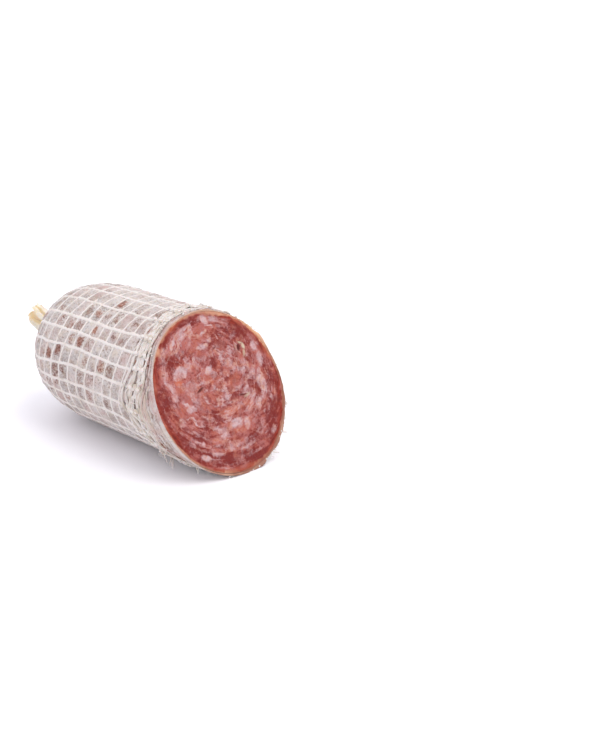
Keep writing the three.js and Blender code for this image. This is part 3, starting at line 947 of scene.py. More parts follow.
# Main pieces of fat that show on the cut face: sideways and up the face, half length, half
# width, all in millimetres, then the lean in degrees and how white the piece is.
FAT_PIECES = (
    (-25.5, 18.5, 5.4, 3.9, 12, 0.95), (-3.3, 15.4, 3.2, 2, 30, 1.2),
    (34, -1.5, 7, 3.4, 98, 0.86), (38.5, 13.5, 4.8, 2.3, 80, 0.86), (36, 23, 3.4, 2.2, 80, 0.75),
    (13.5, 16.3, 3.3, 2.8, 10, 0.8), (25, 12.5, 4.6, 3.2, 100, 0.5),
    (-8.6, 42.5, 4.8, 2, 75, 0.75), (-15.6, 41.3, 3, 2.4, 10, 0.8),
    (4.6, 48, 4.4, 2.4, 122, 0.85), (12, 47.5, 3.6, 2.4, 170, 0.7),
    (-2.5, 31.5, 4.6, 1.9, 8, 0.75), (3.8, 35, 3.2, 1.7, 70, 0.65),
    (-34, 5.5, 4.4, 2.2, 95, 0.75), (-34, 32, 5.6, 1.9, 62, 0.6), (-26.5, -5, 3.2, 2.8, 20, 0.7),
    (-35.3, -12, 3.4, 2.6, 60, 0.75), (-25.5, -38.5, 4.2, 2.2, 155, 0.85),
    (4.4, -22, 5.6, 2.6, 12, 1.1), (13, -24.3, 4.6, 2.2, 75, 0.9), (26.5, -14, 5, 2.4, 65, 0.75),
    (-6, -25, 4.6, 2.6, 5, 0.55), (-3, -37, 6, 1.7, 3, 0.75), (24, -7.5, 5, 1.8, 40, 0.55),
    (32, -34, 3.2, 2.2, 50, 0.6), (-21, 8, 5.5, 4.4, 20, 0.5), (13.5, -1, 4, 1.4, 10, 0.6),
    (-26, 33, 4.4, 2.2, 10, 0.45), (12, -38, 4.4, 1.3, 8, 0.6), (-15, -33, 5.4, 1.2, 175, 0.5),
    (30, 7, 4.6, 1.8, 70, 0.5), (-37.5, 22, 4, 1.6, 68, 0.5), (-19, -1.5, 3, 1.6, 40, 0.55),
    (20, 44, 3.6, 1.4, 150, 0.45), (-17.5, 22, 2.4, 2.2, 0, 0.6), (-41, -22, 4, 1.3, 112, 0.45),
    (20, -31, 4, 1.2, 25, 0.5), (2, 25.5, 3.6, 2.2, 15, 0.45), (-13, 12, 2.6, 1.8, 60, 0.5),
    (7, 11, 4.4, 1.6, 10, 0.45), (-8, 24, 3.4, 1.6, 160, 0.45), (18, 24, 3, 1.8, 40, 0.45),
    (-30, -20, 3.6, 1.5, 150, 0.45), (-12, -29, 5, 1.3, 5, 0.5), (14, -44, 5, 1.1, 10, 0.3),
    (-5, -47.5, 5, 0.9, 178, 0.35), (38, -12, 4.2, 1.3, 95, 0.45), (22, 33, 3.6, 1.4, 20, 0.4),
    (-12, 35.5, 3, 1.4, 30, 0.45), (33, 33, 2.6, 1.2, 120, 0.35), (8, -8.4, 4.6, 0.9, 2, 0.8),
    (3, 7.4, 4.6, 0.9, 8, 0.7), (-12.5, 8.4, 2.6, 0.8, 20, 0.7), (-16.5, 2.3, 2.2, 0.8, 10, 0.65),
    (17.5, -5.4, 3, 0.8, 15, 0.7), (-19.5, -4, 3.4, 0.8, 25, 0.55), (9, 28.3, 2.6, 0.7, 160, 0.6),
)

# Deep red stretches of lean, given in the same way, with how dark the stretch is.
DARK_PIECES = (
    (-30, 27, 6.5, 4.5, 20, 0.75), (13, 38, 8, 3.5, 0, 0.55), (28, 36, 8, 5, 130, 0.95),
    (-42, 5, 9, 2.8, 90, 1), (10, -47, 15, 2.4, 5, 1.1), (-12, -41, 9, 1.4, 0, 1),
    (-27, -33, 6, 2.4, 150, 0.8), (37, -19, 9, 3.2, 75, 0.9), (-15, -18, 9, 4.5, 165, 0.45),
    (-10, -12, 7, 2, 0, 0.6), (33, -39, 7, 3, 45, 0.9), (-14, 50, 12, 2.6, 172, 1),
    (-27, 43, 7, 3, 40, 0.8), (16, -33, 7, 2.6, 15, 0.6), (12, -5, 5, 1.6, 10, 0.7),
    (2, 18, 4.5, 2.2, 80, 0.75), (-23, -24, 8, 3, 160, 0.6), (45, -5, 8, 1.8, 90, 0.8),
    (-9, -44.5, 9, 2, 178, 1.2), (30, -3, 7, 1.4, 85, 0.6), (-22, -42, 6, 1.8, 155, 0.7),
    (31, -33, 8, 3, 52, 0.8), (24, -18, 5, 1.5, 60, 0.5), (28, 16, 4, 1.4, 80, 0.4),
    (4, -42.5, 8, 1.5, 3, 0.9), (-38, -1, 7, 2, 88, 0.6), (19, -1, 4, 1.8, 10, 0.4),
    (-36, -25, 7, 2.6, 125, 0.7), (33, 27, 4, 3, 0, 0.5), (-46, -8, 8, 2, 95, 0.9),
    (8, 31, 7, 2.6, 175, 0.55), (-17, 29, 6, 2.4, 10, 0.6), (30, -26, 7, 2.4, 65, 0.7),
    (5, -31.5, 8, 1.2, 5, 0.6), (-19, 46, 4, 2, 30, 0.6), (20, 19, 4, 1.6, 80, 0.5),
    (-10, 3, 3, 1.4, 40, 0.5), (43, 21, 5, 1.5, 110, 0.6), (27, 2, 5, 1.6, 60, 0.5),
    (41.5, 5, 8, 1.9, 94, 0.9), (22, 5, 4, 2, 20, 0.45), (31.5, 18, 4, 1.9, 82, 0.7),
    (29.5, -8, 4, 1.8, 70, 0.55), (17, 9.5, 4, 1.3, 5, 0.4),
)

# Glassy orange patches, given in the same way.
WARM_PIECES = (
    (-28, 13.3, 2.6, 2.2, 0, 1.1), (5, -27, 6, 1.5, 5, 0.6), (5, -13.5, 9, 2.2, 0, 0.6),
    (-20, 6, 6, 4, 30, 0.3), (45, 18, 6, 1.6, 105, 0.8), (-46.5, 15, 6, 1.5, 78, 0.7),
    (-33, -5, 5, 2, 70, 0.45), (27, 18, 4, 2.5, 60, 0.3), (0, -52, 15, 1.8, 0, 0.6),
    (-12, -30, 7, 1.2, 170, 0.5), (12, 5, 7, 2.5, 15, 0.4), (20, -16, 5, 2, 60, 0.45),
    (7, 26.5, 3.4, 1.4, 0, 0.5), (-43, -30, 6, 1.4, 128, 0.7), (-2, 8, 6, 2, 5, 0.35),
    (-31, 8, 4, 2, 40, 0.4), (18, -11, 6, 1.6, 30, 0.4), (-24, 23, 4, 1.4, 0, 0.3),
    (-33, -41, 9, 1.3, 135, 1), (-47.5, -12, 9, 0.9, 104, 0.8), (-45, 26, 7, 1, 62, 0.8),
    (-21, 47.5, 7, 1.3, 24, 0.8), (30, 43, 8, 2, 132, 0.7), (40, 31, 6, 1.6, 118, 0.7),
    (27, -45, 7, 1.4, 30, 0.7), (-17, -50, 7, 1.4, 162, 0.9),
)

# Creamy smears of fine fat, given in the same way.
CREAM_PIECES = (
    (26.4, 27.6, 1.9, 0.8, 155, 0.85), (28.2, 24.8, 2.5, 1.2, 100, 0.9),
    (27.3, 20.4, 2.4, 0.9, 72, 0.75), (22.2, 25.4, 1.6, 0.5, 85, 0.5),
    (19.3, -6.9, 2.8, 0.9, 18, 0.6),
)

# How deep the tan crust at the rim is: degrees round and millimetres.
CRUST_DEPTH = (
    (-165, 0.2), (-150, 0.7), (-135, 1.1), (-120, 0.7), (-107, 3.2), (-90, 0.6), (-75, 2.2),
    (-60, 0.4), (-45, 1.1), (-30, 0.8), (-15, 1.5), (0, 0.8), (15, 1.2), (30, 1.7), (45, 1.4),
    (60, 1.2), (75, 2.8), (90, 1.6), (105, 1.3), (118, 1.2), (128, 2.4), (137, 3.2), (143, 2),
    (149, 0.3), (165, 0.1),
)

# Hollows in the face: sideways and up the face, half length, half width, lean, depth.
# The hollows are sunk into the face and also painted near black as shade.
PITS = (
    (24.6, 24.6, 2.2, 1, 80, 0.85), (-14.5, 4.6, 2.6, 0.7, 25, 0.75),
    (16.5, -6, 3, 0.5, 172, 0.6), (5.5, 28.2, 1.6, 0.45, 30, 0.5),
    (7.6, 25.8, 1.2, 0.5, 140, 0.4), (-38, 20, 0.9, 0.6, 0, 0.35), (6.5, -8.9, 0.8, 0.5, 0, 0.4),
    (-16, 16.5, 0.8, 0.6, 0, 0.35), (25, 37, 0.7, 0.6, 0, 0.3), (-6, 6.8, 0.9, 0.4, 20, 0.3),
    (13, 11, 0.7, 0.6, 0, 0.45), (-22, -2.5, 0.8, 0.5, 30, 0.35), (31, -16, 0.8, 0.4, 60, 0.3),
    (-9, -30, 0.9, 0.35, 0, 0.3), (-33, -30, 0.8, 0.5, 120, 0.3),
)


def ovals(across, up, pieces, warp, softness):
    """The strongest of several soft-edged ovals at each place on the face."""
    best = np.zeros_like(across)
    for y, v, long, wide, lean, strength in pieces:
        c, s = math.cos(math.radians(lean)), math.sin(math.radians(lean))
        dy, dv = across - y * MM, up - v * MM
        along, aside = (dy * c + dv * s) / (long * MM), (dv * c - dy * s) / (wide * MM)
        inside = (1 - np.hypot(along, aside)) * wide * MM + warp * min(wide, 3.0) * 0.33
        best = np.maximum(best, strength * smooth(-softness / 2, softness / 2, inside))
    return best


def flat_places(across, up):
    """Places on the face, to read noise at."""
    return np.stack([across, up, np.zeros_like(across)], -1)


def flow_of(across, up):
    """How far each place is round and out from a point above the middle, and how much the
    ground meat is drawn out that way there."""
    centre = 12 * MM
    out = np.hypot(across, up - centre)
    turn = np.arctan2(up - centre, across)
    drawn = np.maximum(smooth(24 * MM, 40 * MM, np.hypot(across, up)),
                       smooth(2 * MM, -14 * MM, up))
    return turn, out, np.maximum(drawn, 0.3)


def lean_middle(across, up):
    """The lean stretch in the middle of the face, from 0 to 1."""
    return np.exp(-((across + 1 * MM) / (13 * MM)) ** 2 - ((up - 1 * MM) / (8 * MM)) ** 2)


def grain_pattern(across, up, settings):
    """How fatty and how dark the ground meat is, as soft grains of mixed size."""
    random = np.random.default_rng(23)
    flat = flat_places(across, up)
    warped_y = across + 2.4 * MM * layered_noise(flat, 8 * MM, 3, 71)
    warped_v = up + 2.4 * MM * layered_noise(flat, 8 * MM, 3, 72)
    pitch = settings.grain
    half = 64 * MM
    n = int(2 * half / pitch)
    seeds = (np.indices((n, n)).reshape(2, -1).T + random.random((n * n, 2))) * pitch - half
    turn, _, drawn = flow_of(*seeds.T)
    stretch = 1.2 + 0.9 * random.random(len(seeds)) + 1.8 * drawn
    turned = np.where(random.random(len(seeds)) < drawn, turn + UP,
                      random.random(len(seeds)) * math.pi)
    share = settings.fat_share * (1 - 0.7 * lean_middle(*seeds.T))
    share = share * np.where(np.hypot(*seeds.T) > 44 * MM, 0.4, 1.0)
    share = share * (1 - 0.35 * smooth(18 * MM, 36 * MM, seeds[:, 0]))
    fatty = (random.random(len(seeds)) < share) * (0.35 + 0.55 * random.random(len(seeds)))
    tones = random.random(len(seeds))
    total = np.full(len(across), 1e-9)
    fat = np.zeros(len(across))
    tone = np.zeros(len(across))
    softness = 0.27 * pitch
    for k, (y, v) in enumerate(seeds):
        dy, dv = warped_y - y, warped_v - v
        close = (np.abs(dy) < 2.2 * pitch) & (np.abs(dv) < 2.2 * pitch)
        c, s = math.cos(turned[k]), math.sin(turned[k])
        along = (dy[close] * c + dv[close] * s) / stretch[k] ** 0.5
        aside = (dv[close] * c - dy[close] * s) * stretch[k] ** 0.5
        weight = np.exp(-np.minimum((along**2 + aside**2) / softness**2, 60))
        total[close] += weight
        fat[close] += weight * fatty[k]
        tone[close] += weight * tones[k]
    return fat / total, tone / total


def rim_masks(flat, angle, depth, marbling):
    """The dried ring under the skin, and the tan crust at its outer edge."""
    wide = 3.1 + 2.2 * close_to(angle, 182, 45) + 1.4 * noise(flat, 15 * MM, 76)
    wide = wide + 1.6 * close_to(angle, -12, 42) + 2.0 * close_to(angle, 54, 30)
    wide = (wide + 1.2 * noise(flat, 5 * MM, 77) + 0.8 * marbling) * MM
    rim = 1 - smooth(0.35 * wide, 1.35 * wide, depth)
    ragged = 1 + 0.7 * noise(flat, 5 * MM, 85) + 0.5 * noise(flat, 1.8 * MM, 86)
    own = from_table(CRUST_DEPTH, angle) * np.maximum(ragged, 0.1) * MM
    crust = smooth(0, 0.5 * MM, own) * (1 - smooth(0.35 * own, own + 0.25 * MM, depth))
    return rim, crust * (0.85 + 0.3 * noise(flat, 2.2 * MM, 87))


def meat_masks(across, up, reach, browned, settings):
    """All the values that the meat's material reads, over the face."""
    flat = flat_places(across, up)
    depth = reach - np.hypot(across, up)  # in from the casing
    angle = np.degrees(np.arctan2(up, across))
    turn, out, drawn = flow_of(across, up)
    flow = np.stack([7 * MM * np.cos(turn), 7 * MM * np.sin(turn), out], -1)
    loose = layered_noise(flat, 4.2 * MM, 4, 73)
    strands = layered_noise(flow + 0.6 * MM * noise(flat, 4 * MM, 90)[:, None], 2.0 * MM, 3, 78)
    marbling = loose * (1 - drawn) + strands * drawn
    coarse = layered_noise(flat, 13 * MM, 2, 74)
    warp = MM * (layered_noise(flat, 5 * MM, 4, 75) * (1 - 0.5 * drawn) + 0.5 * strands * drawn)
    main_fat = ovals(across, up, FAT_PIECES, warp, 2.1 * MM)
    dark = ovals(across, up, DARK_PIECES, warp, 4 * MM)
    warm = ovals(across, up, WARM_PIECES, warp, 2.2 * MM)
    cream = ovals(across, up, CREAM_PIECES, 0.8 * warp, 1.0 * MM)
    pit = ovals(across, up, PITS, 0.6 * warp, 0.8 * MM)
    rim, crust = rim_masks(flat, angle, depth, marbling)
    drawn_out = np.stack([np.radians(angle) * 9 * MM, depth, 0 * depth], -1)
    streak = layered_noise(drawn_out, 2.2 * MM, 3, 88)
    fat, tone = grain_pattern(across, up, settings)
    spread_fat = 0.62 * smooth(0.05, 1.0, marbling + 0.35 * coarse)
    fat = np.maximum(0.85 * fat * (1 + 0.5 * marbling), spread_fat)
    fat = fat * (1 - 0.75 * np.clip(dark, 0, 1)) * (1 - 0.85 * rim)
    mottle = 0.9 + 0.3 * loose + 0.22 * noise(flat, 1.7 * MM, 89)
    fat = np.maximum(fat, main_fat * mottle * (1 - 0.5 * rim))
    threads = 1 - smooth(0.0, 0.16, np.abs(noise(flat + 1.5 * warp[:, None], 3.4 * MM, 84)))
    tone = 0.05 + 0.55 * tone - 0.28 * marbling + 0.16 * coarse + 0.85 * dark + 0.10 * threads
    lean_area = lean_middle(across, up)
    smear = np.clip(0.35 * smooth(0.1, 0.9, -loose) + 0.1 * lean_area, 0, 1)
    glassy = np.clip(warm * (0.85 + 0.35 * marbling), 0, 1)
    dried = 0.76 + 0.25 * noise(flat, 6 * MM, 79) - 0.3 * marbling + 0.6 * streak
    return {
        "fat": np.clip(fat * (1 - pit), 0, 1.15),
        "smear": smear * (1 - rim),
        "tone": np.clip(tone - 0.03 * lean_area, 0, 1.3),
        "warm": glassy * (1 - 0.6 * np.clip(main_fat, 0, 1)),
        "rim": np.clip(rim * dried, 0, 0.97),
        "crust": np.clip(crust, 0, 1),
        "browned": browned,
        "cream": np.clip(cream * (1 + 0.3 * loose), 0, 1) * (1 - pit),
        "pit": np.clip(pit, 0, 1),
        "flow": flow + 0.9 * warp[:, None],
    }


def disc_grid(n):
    """A square grid of points laid evenly over a disc of radius 1, and its rim in order."""
    line = np.linspace(-1, 1, n + 1)
    a, b = np.meshgrid(line, line, indexing="ij")
    wide = np.abs(a) > np.abs(b)
    with np.errstate(divide="ignore", invalid="ignore"):
        angle = np.where(wide, math.pi / 4 * b / a, UP - math.pi / 4 * a / b)
    radius = np.where(wide, a, b)
    angle = np.where((a == 0) & (b == 0), 0, angle)
    x, y = radius * np.cos(angle), radius * np.sin(angle)
    index = np.arange((n + 1) ** 2).reshape(n + 1, n + 1)
    rim = np.concatenate([index[n, :-1], index[:0:-1, n], index[0, :0:-1], index[:-1, 0]])
    return x.ravel(), y.ravel(), index, rim


def cut_face(skin, settings):
    """The cut face: its points, faces, rim, the angles of the rim, and the material's values."""
    body = skin.body
    x, y, index, rim = disc_grid(FACE_SQUARES)
    angle = np.arctan2(y, x)
    cut = skin.cut_way(angle)
    reach = body.casing_radius + skin.lump(cut, angle) - skin.rim_thickness(angle)
    radius = np.hypot(x, y) * reach
    lean = math.cos(body.cut_lean)
    across = radius * np.cos(angle)
    up = radius * np.sin(angle) / lean
    reach_there = reach * np.hypot(np.cos(angle), np.sin(angle) / lean)
    masks = meat_masks(across, up, reach_there, skin.browning(angle), settings)
    flat = flat_places(across, up)
    from_rim = reach_there - np.hypot(across, up)
    relief = 0.16 * MM * layered_noise(flat, 2.6 * MM, 3, 81)
    relief += 0.14 * MM * masks["fat"] - 0.16 * MM * masks["rim"]
    relief += 0.07 * MM * noise(flat * np.array([0.12, 1, 1]), 1.3 * MM, 82)
    relief -= 1.5 * MM * masks["pit"]
    relief += 0.45 * MM * masks["cream"]
    relief -= 0.15 * MM * smooth(2.5 * MM, 0, from_rim) - 0.1 * MM
    out = unit(np.array([1.0, -math.tan(body.cut_turn), math.tan(body.cut_lean)]))
    back = radius * skin.cut_slope(angle)
    face = skin.place(back, radius, angle, skin.middle_height(back)) + relief[:, None] * out
    squares = np.stack([index[:-1, :-1], index[1:, :-1], index[1:, 1:], index[:-1, 1:]], -1)
    return face, squares.reshape(-1, 4).tolist(), rim, angle[rim], masks


def meat_rings(skin, angle):
    """Rings of points inside the skin, from the cut face to the closed end."""
    dome = skin.way < skin.neck_way
    end_way = np.interp(skin.body.length - 2.5 * MM, skin.back[dome], skin.way[dome])
    start = skin.cut_way(angle)
    rings = []
    for share in np.linspace(0, 1, 12) ** 1.5 * 0.998:
        way = start + 0.3 * MM + (end_way - start) * share
        depth = skin.thickness(angle, way - start) + HIDDEN_GAP
        rings.append(skin.at(way, angle, -depth))
    return rings


def build_meat(skin, settings):
    """The filling: a finely modelled cut face, and a plain log behind it."""
    face, faces, ring, angle, masks = cut_face(skin, settings)
    rings = meat_rings(skin, angle)
    points = np.concatenate([face, *rings, rings[-1].mean(0, keepdims=True)])
    tip = len(points) - 1
    count = len(ring)
    for first in range(len(face), tip, count):
        after = np.arange(first, first + count)
        faces += np.stack([ring, after, np.roll(after, -1), np.roll(ring, -1)], -1).tolist()
        ring = after
    faces += np.stack([ring, np.full(count, tip), np.roll(ring, -1)], -1).tolist()
    behind = len(points) - len(face)
    values = {key: np.concatenate([value, np.zeros((behind,) + value.shape[1:])])
              for key, value in masks.items()}
    made = make_object("cured_meat", points, faces, meat_finish(settings), values)
    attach(made, "root")
    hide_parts("meat")


# The casing


CASING_COLUMNS = 11  # of points, from each string of the net to the next
EDGE_ROWS = 3  # rows of points of the inside that have the colours of the cut edge
NECK_PLEATS = 14
TUFT_LENGTH = 17.5 * MM
TUFT_HALF_WIDE = 7.2 * MM
TUFT_HALF_THICK = 5.8 * MM
TUFT_WALL = 0.45 * MM
TUFT_COLUMNS = 168  # of points
TUFT_ROWS = 34

# Meshes of the net where the meat shows through the skin, as they lie on the casing: millimetres
# along, degrees round, half length and half width in millimetres, how bare, how brown.
BARE_PLACES = (
    (79, 107, 3.4, 4.5, 0.9, 0.6), (82, 138, 2.2, 3.4, 0.9, 1), (89.5, 123, 3, 3, 0.75, 0.6),
    (82, 117, 2, 1.6, 0.7, 0.2), (80, 126, 3.2, 4, 0.6, 0.1), (50, 121, 3.4, 4.4, 0.55, 0),
    (59, 105, 3, 4.5, 0.5, 0), (69, 124, 3.2, 5, 0.5, 0.4), (111, 162, 2.8, 4.2, 1.15, 0),
    (121, 167, 3, 4.5, 0.95, 0.3), (125, 169, 3, 3.6, 0.5, 0.5), (91, 151, 3, 4, 0.8, 0.3),
    (101, 151, 2.8, 3.6, 0.5, 0.7), (63, 163, 3.2, 4.6, 0.75, 0.7), (54, 163, 3.2, 2.4, 0.6, 0.4),
    (84, 179, 3, 5, 0.6, 0), (104, 175, 3.2, 3.6, 0.65, 0), (112, 177, 3, 4, 0.75, 0),
    (75, 190, 3.4, 3.6, 0.6, 0.4), (85, 190, 3, 4, 0.45, 0), (56, 193, 3.4, 4.6, 0.45, 0),
    (104, 201, 3.2, 3.4, 0.55, 1), (112, 187, 3, 4.2, 0.6, 0.1), (123, 189, 3.2, 3, 0.5, 0.3),
    (128, 128, 3, 2.6, 0.5, 1), (118, 137, 2.8, 3.6, 0.6, 0.5), (108, 138, 3, 3.6, 0.45, 0.7),
    (99, 138, 3, 3.8, 0.5, 0.5), (99, 123, 2.6, 4.6, 0.45, 0.5), (144, 139, 3.2, 4, 0.5, 0.7),
    (63, 148, 3, 3.4, 0.55, 0), (61, 138, 2.6, 3.4, 0.5, 0), (131, 153, 3.2, 4, 0.4, 0.1),
    (43, 107, 3, 4, 0.45, 0.5), (51, 139, 2.6, 2.6, 0.5, 0.2), (81, 150, 3, 3.6, 0.4, 0.2),
    (80, 163, 3.2, 3.4, 0.5, 0.3), (72, 176, 3, 4, 0.4, 0), (123, 200, 3, 3, 0.4, 0.4),
    (60, 70, 3.4, 4.6, 0.7, 0.3), (112, 35, 3, 4.4, 0.8, 0.2), (92, 50, 3.2, 4.2, 0.55, 0.5),
    (70, 10, 3, 4.2, 0.8, 0), (120, 80, 3, 4, 0.5, 0.6), (50, 340, 3, 4.2, 0.6, 0.2),
    (100, 330, 3.2, 4.2, 0.6, 0.4), (128, 355, 3, 4, 0.6, 0), (80, 290, 3.2, 4.2, 0.6, 0.5),
)


def bare_meshes(way, degrees, ragged):
    """How bare and how brown the skin is in the meshes where the meat shows through."""
    bare = np.zeros_like(way)
    brown = np.zeros_like(way)
    for back, round_at, half_long, half_wide, strength, tan in BARE_PLACES:
        off_round = np.radians(turned_off(degrees, round_at)) * USUAL_RADIUS / MM / half_wide
        off_along = (way / MM - back) / half_long
        off = (off_round**4 + off_along**4) ** 0.25
        here = 1.05 * min(strength, 0.9) * (1 - smooth(0.7, 1.5, off + ragged))
        brown = np.where(here > bare, tan, brown)
        bare = np.maximum(bare, here)
    return bare, brown


def casing_values(skin, pattern, way, angle, points):
    """The values that the casing's material reads."""
    round_place, along_place, inside = pattern.meshes(way, angle)
    cell = np.floor(round_place), np.floor(along_place)
    own, other, third = (cell_random(*cell, seed=seed) for seed in (8, 9, 10))
    middle = (midway(round_place) * midway(along_place)) ** 0.5
    sided = (round_place - cell[0] - 0.5) * (0.2 + 0.5 * other)
    sided = sided + (along_place - cell[1] - 0.5) * 0.7 * (third - 0.5)
    degrees = np.degrees(angle)
    gap = way - skin.cut_way(angle)
    edge = pattern.edge(angle)
    strip = 1 - smooth(-2 * MM, 5 * MM, gap - edge)
    # Painted shade under the bunched cords of the net's edge, in a band about 5 mm behind its front
    under = np.exp(-((gap - edge - 5 * MM) / (5 * MM)) ** 2)
    # Painted shade in the gaps between those cords, partly the brown of the bare skin there
    in_slot = pattern.slots(way, angle)[0]
    # Painted shade in the valleys and creases of the strip's folds
    painted_fold_shade = pattern.bare_strip(way, angle)[1]

    # The strip of skin before the net: whiter low on the -Y side, with one crease along it that is
    # only painted, as a dark line of shade
    near_white = strip * (1 - smooth(3.5 * MM, 5 * MM, gap)) * plateau(degrees, 180, 198, 235, 250)
    near_white = near_white * smooth(0.2 * MM, 1.0 * MM, gap)
    crease = np.exp(-((gap - 5.2 * MM) / (0.45 * MM)) ** 2) * plateau(degrees, 172, 190, 240, 255)
    mottled = 0.4 * layered_noise(points, 3 * MM, 3, 96) + 0.5 * noise(points, 6.5 * MM, 95)

    tone = 0.15 + (0.64 * own + 0.85 * sided) * middle * inside
    tone = tone + 0.3 * layered_noise(points, 7 * MM, 2, 91)
    tone = tone + 0.15 * inside * smooth(95 * MM, 120 * MM, way)
    # Painted light: lighter mould along the top of the body, where it is seen at a grazing angle
    tone = tone - 0.14 * inside * close_to(degrees, 92, 26)
    tone = tone * (1 - strip) + strip * (0.26 + mottled)
    # Painted shade: darker under the bunched cords, in the gaps between them, in the strip's fold
    # valleys and along the painted crease
    tone = tone + 0.35 * under + 1.7 * painted_fold_shade + 0.8 * in_slot - 0.5 * near_white + 1.2 * crease

    pink = 0.75 * smooth(0.45, 0.95, third) * middle * inside
    pink = pink + strip * smooth(-0.7, 0.3, noise(points, 8 * MM, 92))
    pink = pink * (1 - 0.8 * near_white)

    ragged = 0.35 * layered_noise(points, 3.5 * MM, 3, 94)
    bare, brown = bare_meshes(way, degrees, ragged)
    scattered = 0.5 * smooth(0.86, 0.99, other) * inside * (0.6 + ragged)
    brown = np.where(scattered > bare, third, brown)
    bare = np.maximum(bare, scattered)
    # Under the cords, in their gaps and in the strip's folds and creases the skin also takes the
    # bare skin's dark brown: painted shade, partly the real brown of bare skin under the cords and
    # in their gaps
    bare = bare * (0.55 + 0.45 * middle) + 0.3 * under * (1 - strip)
    folded = np.maximum(painted_fold_shade, 0.9 * crease)
    bare = np.maximum(bare, np.maximum(0.8 * in_slot, 0.9 * folded))
    brown = np.where(in_slot > 0.2, 0.7, brown)

    left = close_to(degrees, 178, 42)
    wide = 0.7 + 0.8 * noise(points, 7 * MM, 93) + 0.5 * noise(points, 2.5 * MM, 97)
    wide = np.maximum(wide * (1 - 0.6 * left), 0.2)
    cut_edge = (1 - smooth(0.1 * MM, wide * MM, gap)) * (1 - 0.95 * left)
    dotted = 0.15 + 0.6 * smooth(0.45, 0.9, cell_random(*cell, seed=12)) * middle * inside
    return {"tone": tone, "browned": skin.browning(angle), "pink": np.clip(pink, 0, 1),
            "bare": np.clip(bare, 0, 1.2), "brown": brown, "edge": np.clip(cut_edge, 0, 1),
            "dotted": dotted}


def skin_relief(skin, pattern, way, angle):
    """How far the outside of the skin stands off its even form."""
    gap = way - skin.cut_way(angle)
    hidden = skin.hidden(angle)
    gathered = 1 - smooth(9 * MM, 26 * MM, skin.radius_at(way))
    relief = pattern.relief(way, angle)
    relief += wrinkles(skin.at(way, angle)) * smooth(0, 4 * MM, gap)
    relief += 1.1 * MM * gathered * np.sin(NECK_PLEATS * angle + 3 * np.sin(2 * angle))
    relief += pattern.bare_strip(way, angle)[0]
    relief *= smooth(-0.2 * MM, 2.5 * MM, gap) * 0.8 + 0.2
    curl = smooth(0, 0.8, noise(on_ring(angle, 0 * way), 8 * MM, 99))
    relief += 0.7 * MM * curl * (1 - smooth(0, 2.2 * MM, gap)) * (1 - hidden)
    relief *= 1 - 0.8 * hidden * (1 - smooth(0.3 * MM, 2.0 * MM, gap))
    return relief + skin.flare(angle) * (1 - smooth(0, 5 * MM, gap))


def outside_rows(skin, angle):
    """Ways and angles on the outside of the skin: close together near its ragged cut edge."""
    line = np.concatenate([np.arange(0, 27, 0.36) * MM,
                           np.linspace(27.3 * MM, skin.end_way, 160)])
    way, turn = skin.rows(line, angle)
    torn = MM * (0.35 + 0.45 * layered_noise(on_ring(turn, 0 * turn), 5 * MM, 3, 98))
    near_rim = (1 - smooth(0, 3 * MM, line))[:, None]
    way = way - np.clip(torn, -0.2 * MM, 0.9 * MM) * near_rim * (1 - skin.hidden(turn))
    return way, turn


def inside_points(skin, angle):
    """The inside of the skin, which starts level with the meat at the cut."""
    line = np.array([0, 1, 3, 5, 8, 20, 40, 70, 100, 125, 145, 158, 168, 176]) * MM
    way, turn = skin.rows(line, angle)
    thick = skin.thickness(angle, line[:, None])
    points = skin.at(way.ravel(), turn.ravel(), -thick.ravel())
    radius = skin.body.casing_radius - thick[0] + skin.lump(way[0], angle)
    points[:len(angle), 0] = skin.face_x - radius * skin.cut_slope(angle) + 0.12 * MM
    return points


def build_casing(skin, pattern, settings):
    """The skin with its mould: quilted by the net outside, smooth inside, open at the cut."""
    columns = CASING_COLUMNS * skin.net.strings
    ring = np.arange(columns)
    angle = ring / columns * FULL_TURN
    way, turn = outside_rows(skin, angle)
    rows = len(way)
    way, turn = way.ravel(), turn.ravel()
    outer = skin.at(way, turn, skin_relief(skin, pattern, way, turn))
    values = casing_values(skin, pattern, way, turn, outer)
    outer = press_on_floor(outer, 0.7 * MM)
    inner = inside_points(skin, angle)
    tips = [side[-columns:].mean(0, keepdims=True) for side in (inner, outer)]
    points = np.concatenate([outer, inner, *tips])
    inner_first = rows * columns
    inner_last = inner_first + len(inner) - columns
    outer_last = inner_first - columns
    following = np.roll(ring, -1)
    inner_tip = np.full(columns, len(points) - 2)
    faces = np.concatenate([grid_faces(rows, columns)[:, ::-1],
                            grid_faces(len(inner) // columns, columns) + inner_first,
                            band(ring, inner_first + ring)]).tolist()
    faces += np.stack([inner_last + ring, inner_last + following, inner_tip], -1).tolist()
    faces += np.stack([outer_last + following, outer_last + ring, inner_tip + 1], -1).tolist()

    # The values of the cut edge go on over the first rows of the inside
    edge_points = EDGE_ROWS * columns
    edge_values = {key: np.tile(values[key][:columns], EDGE_ROWS) for key in ("edge", "browned")}
    plain = np.full(len(points) - len(outer), 0.3)
    for key, value in values.items():
        own = edge_values.get(key, plain[:edge_points])
        values[key] = np.concatenate([value, own, plain[edge_points:]])
    made = make_object("casing_skin", points, faces, casing_finish(settings), values)
    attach(made, "root")
    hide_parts("casing")


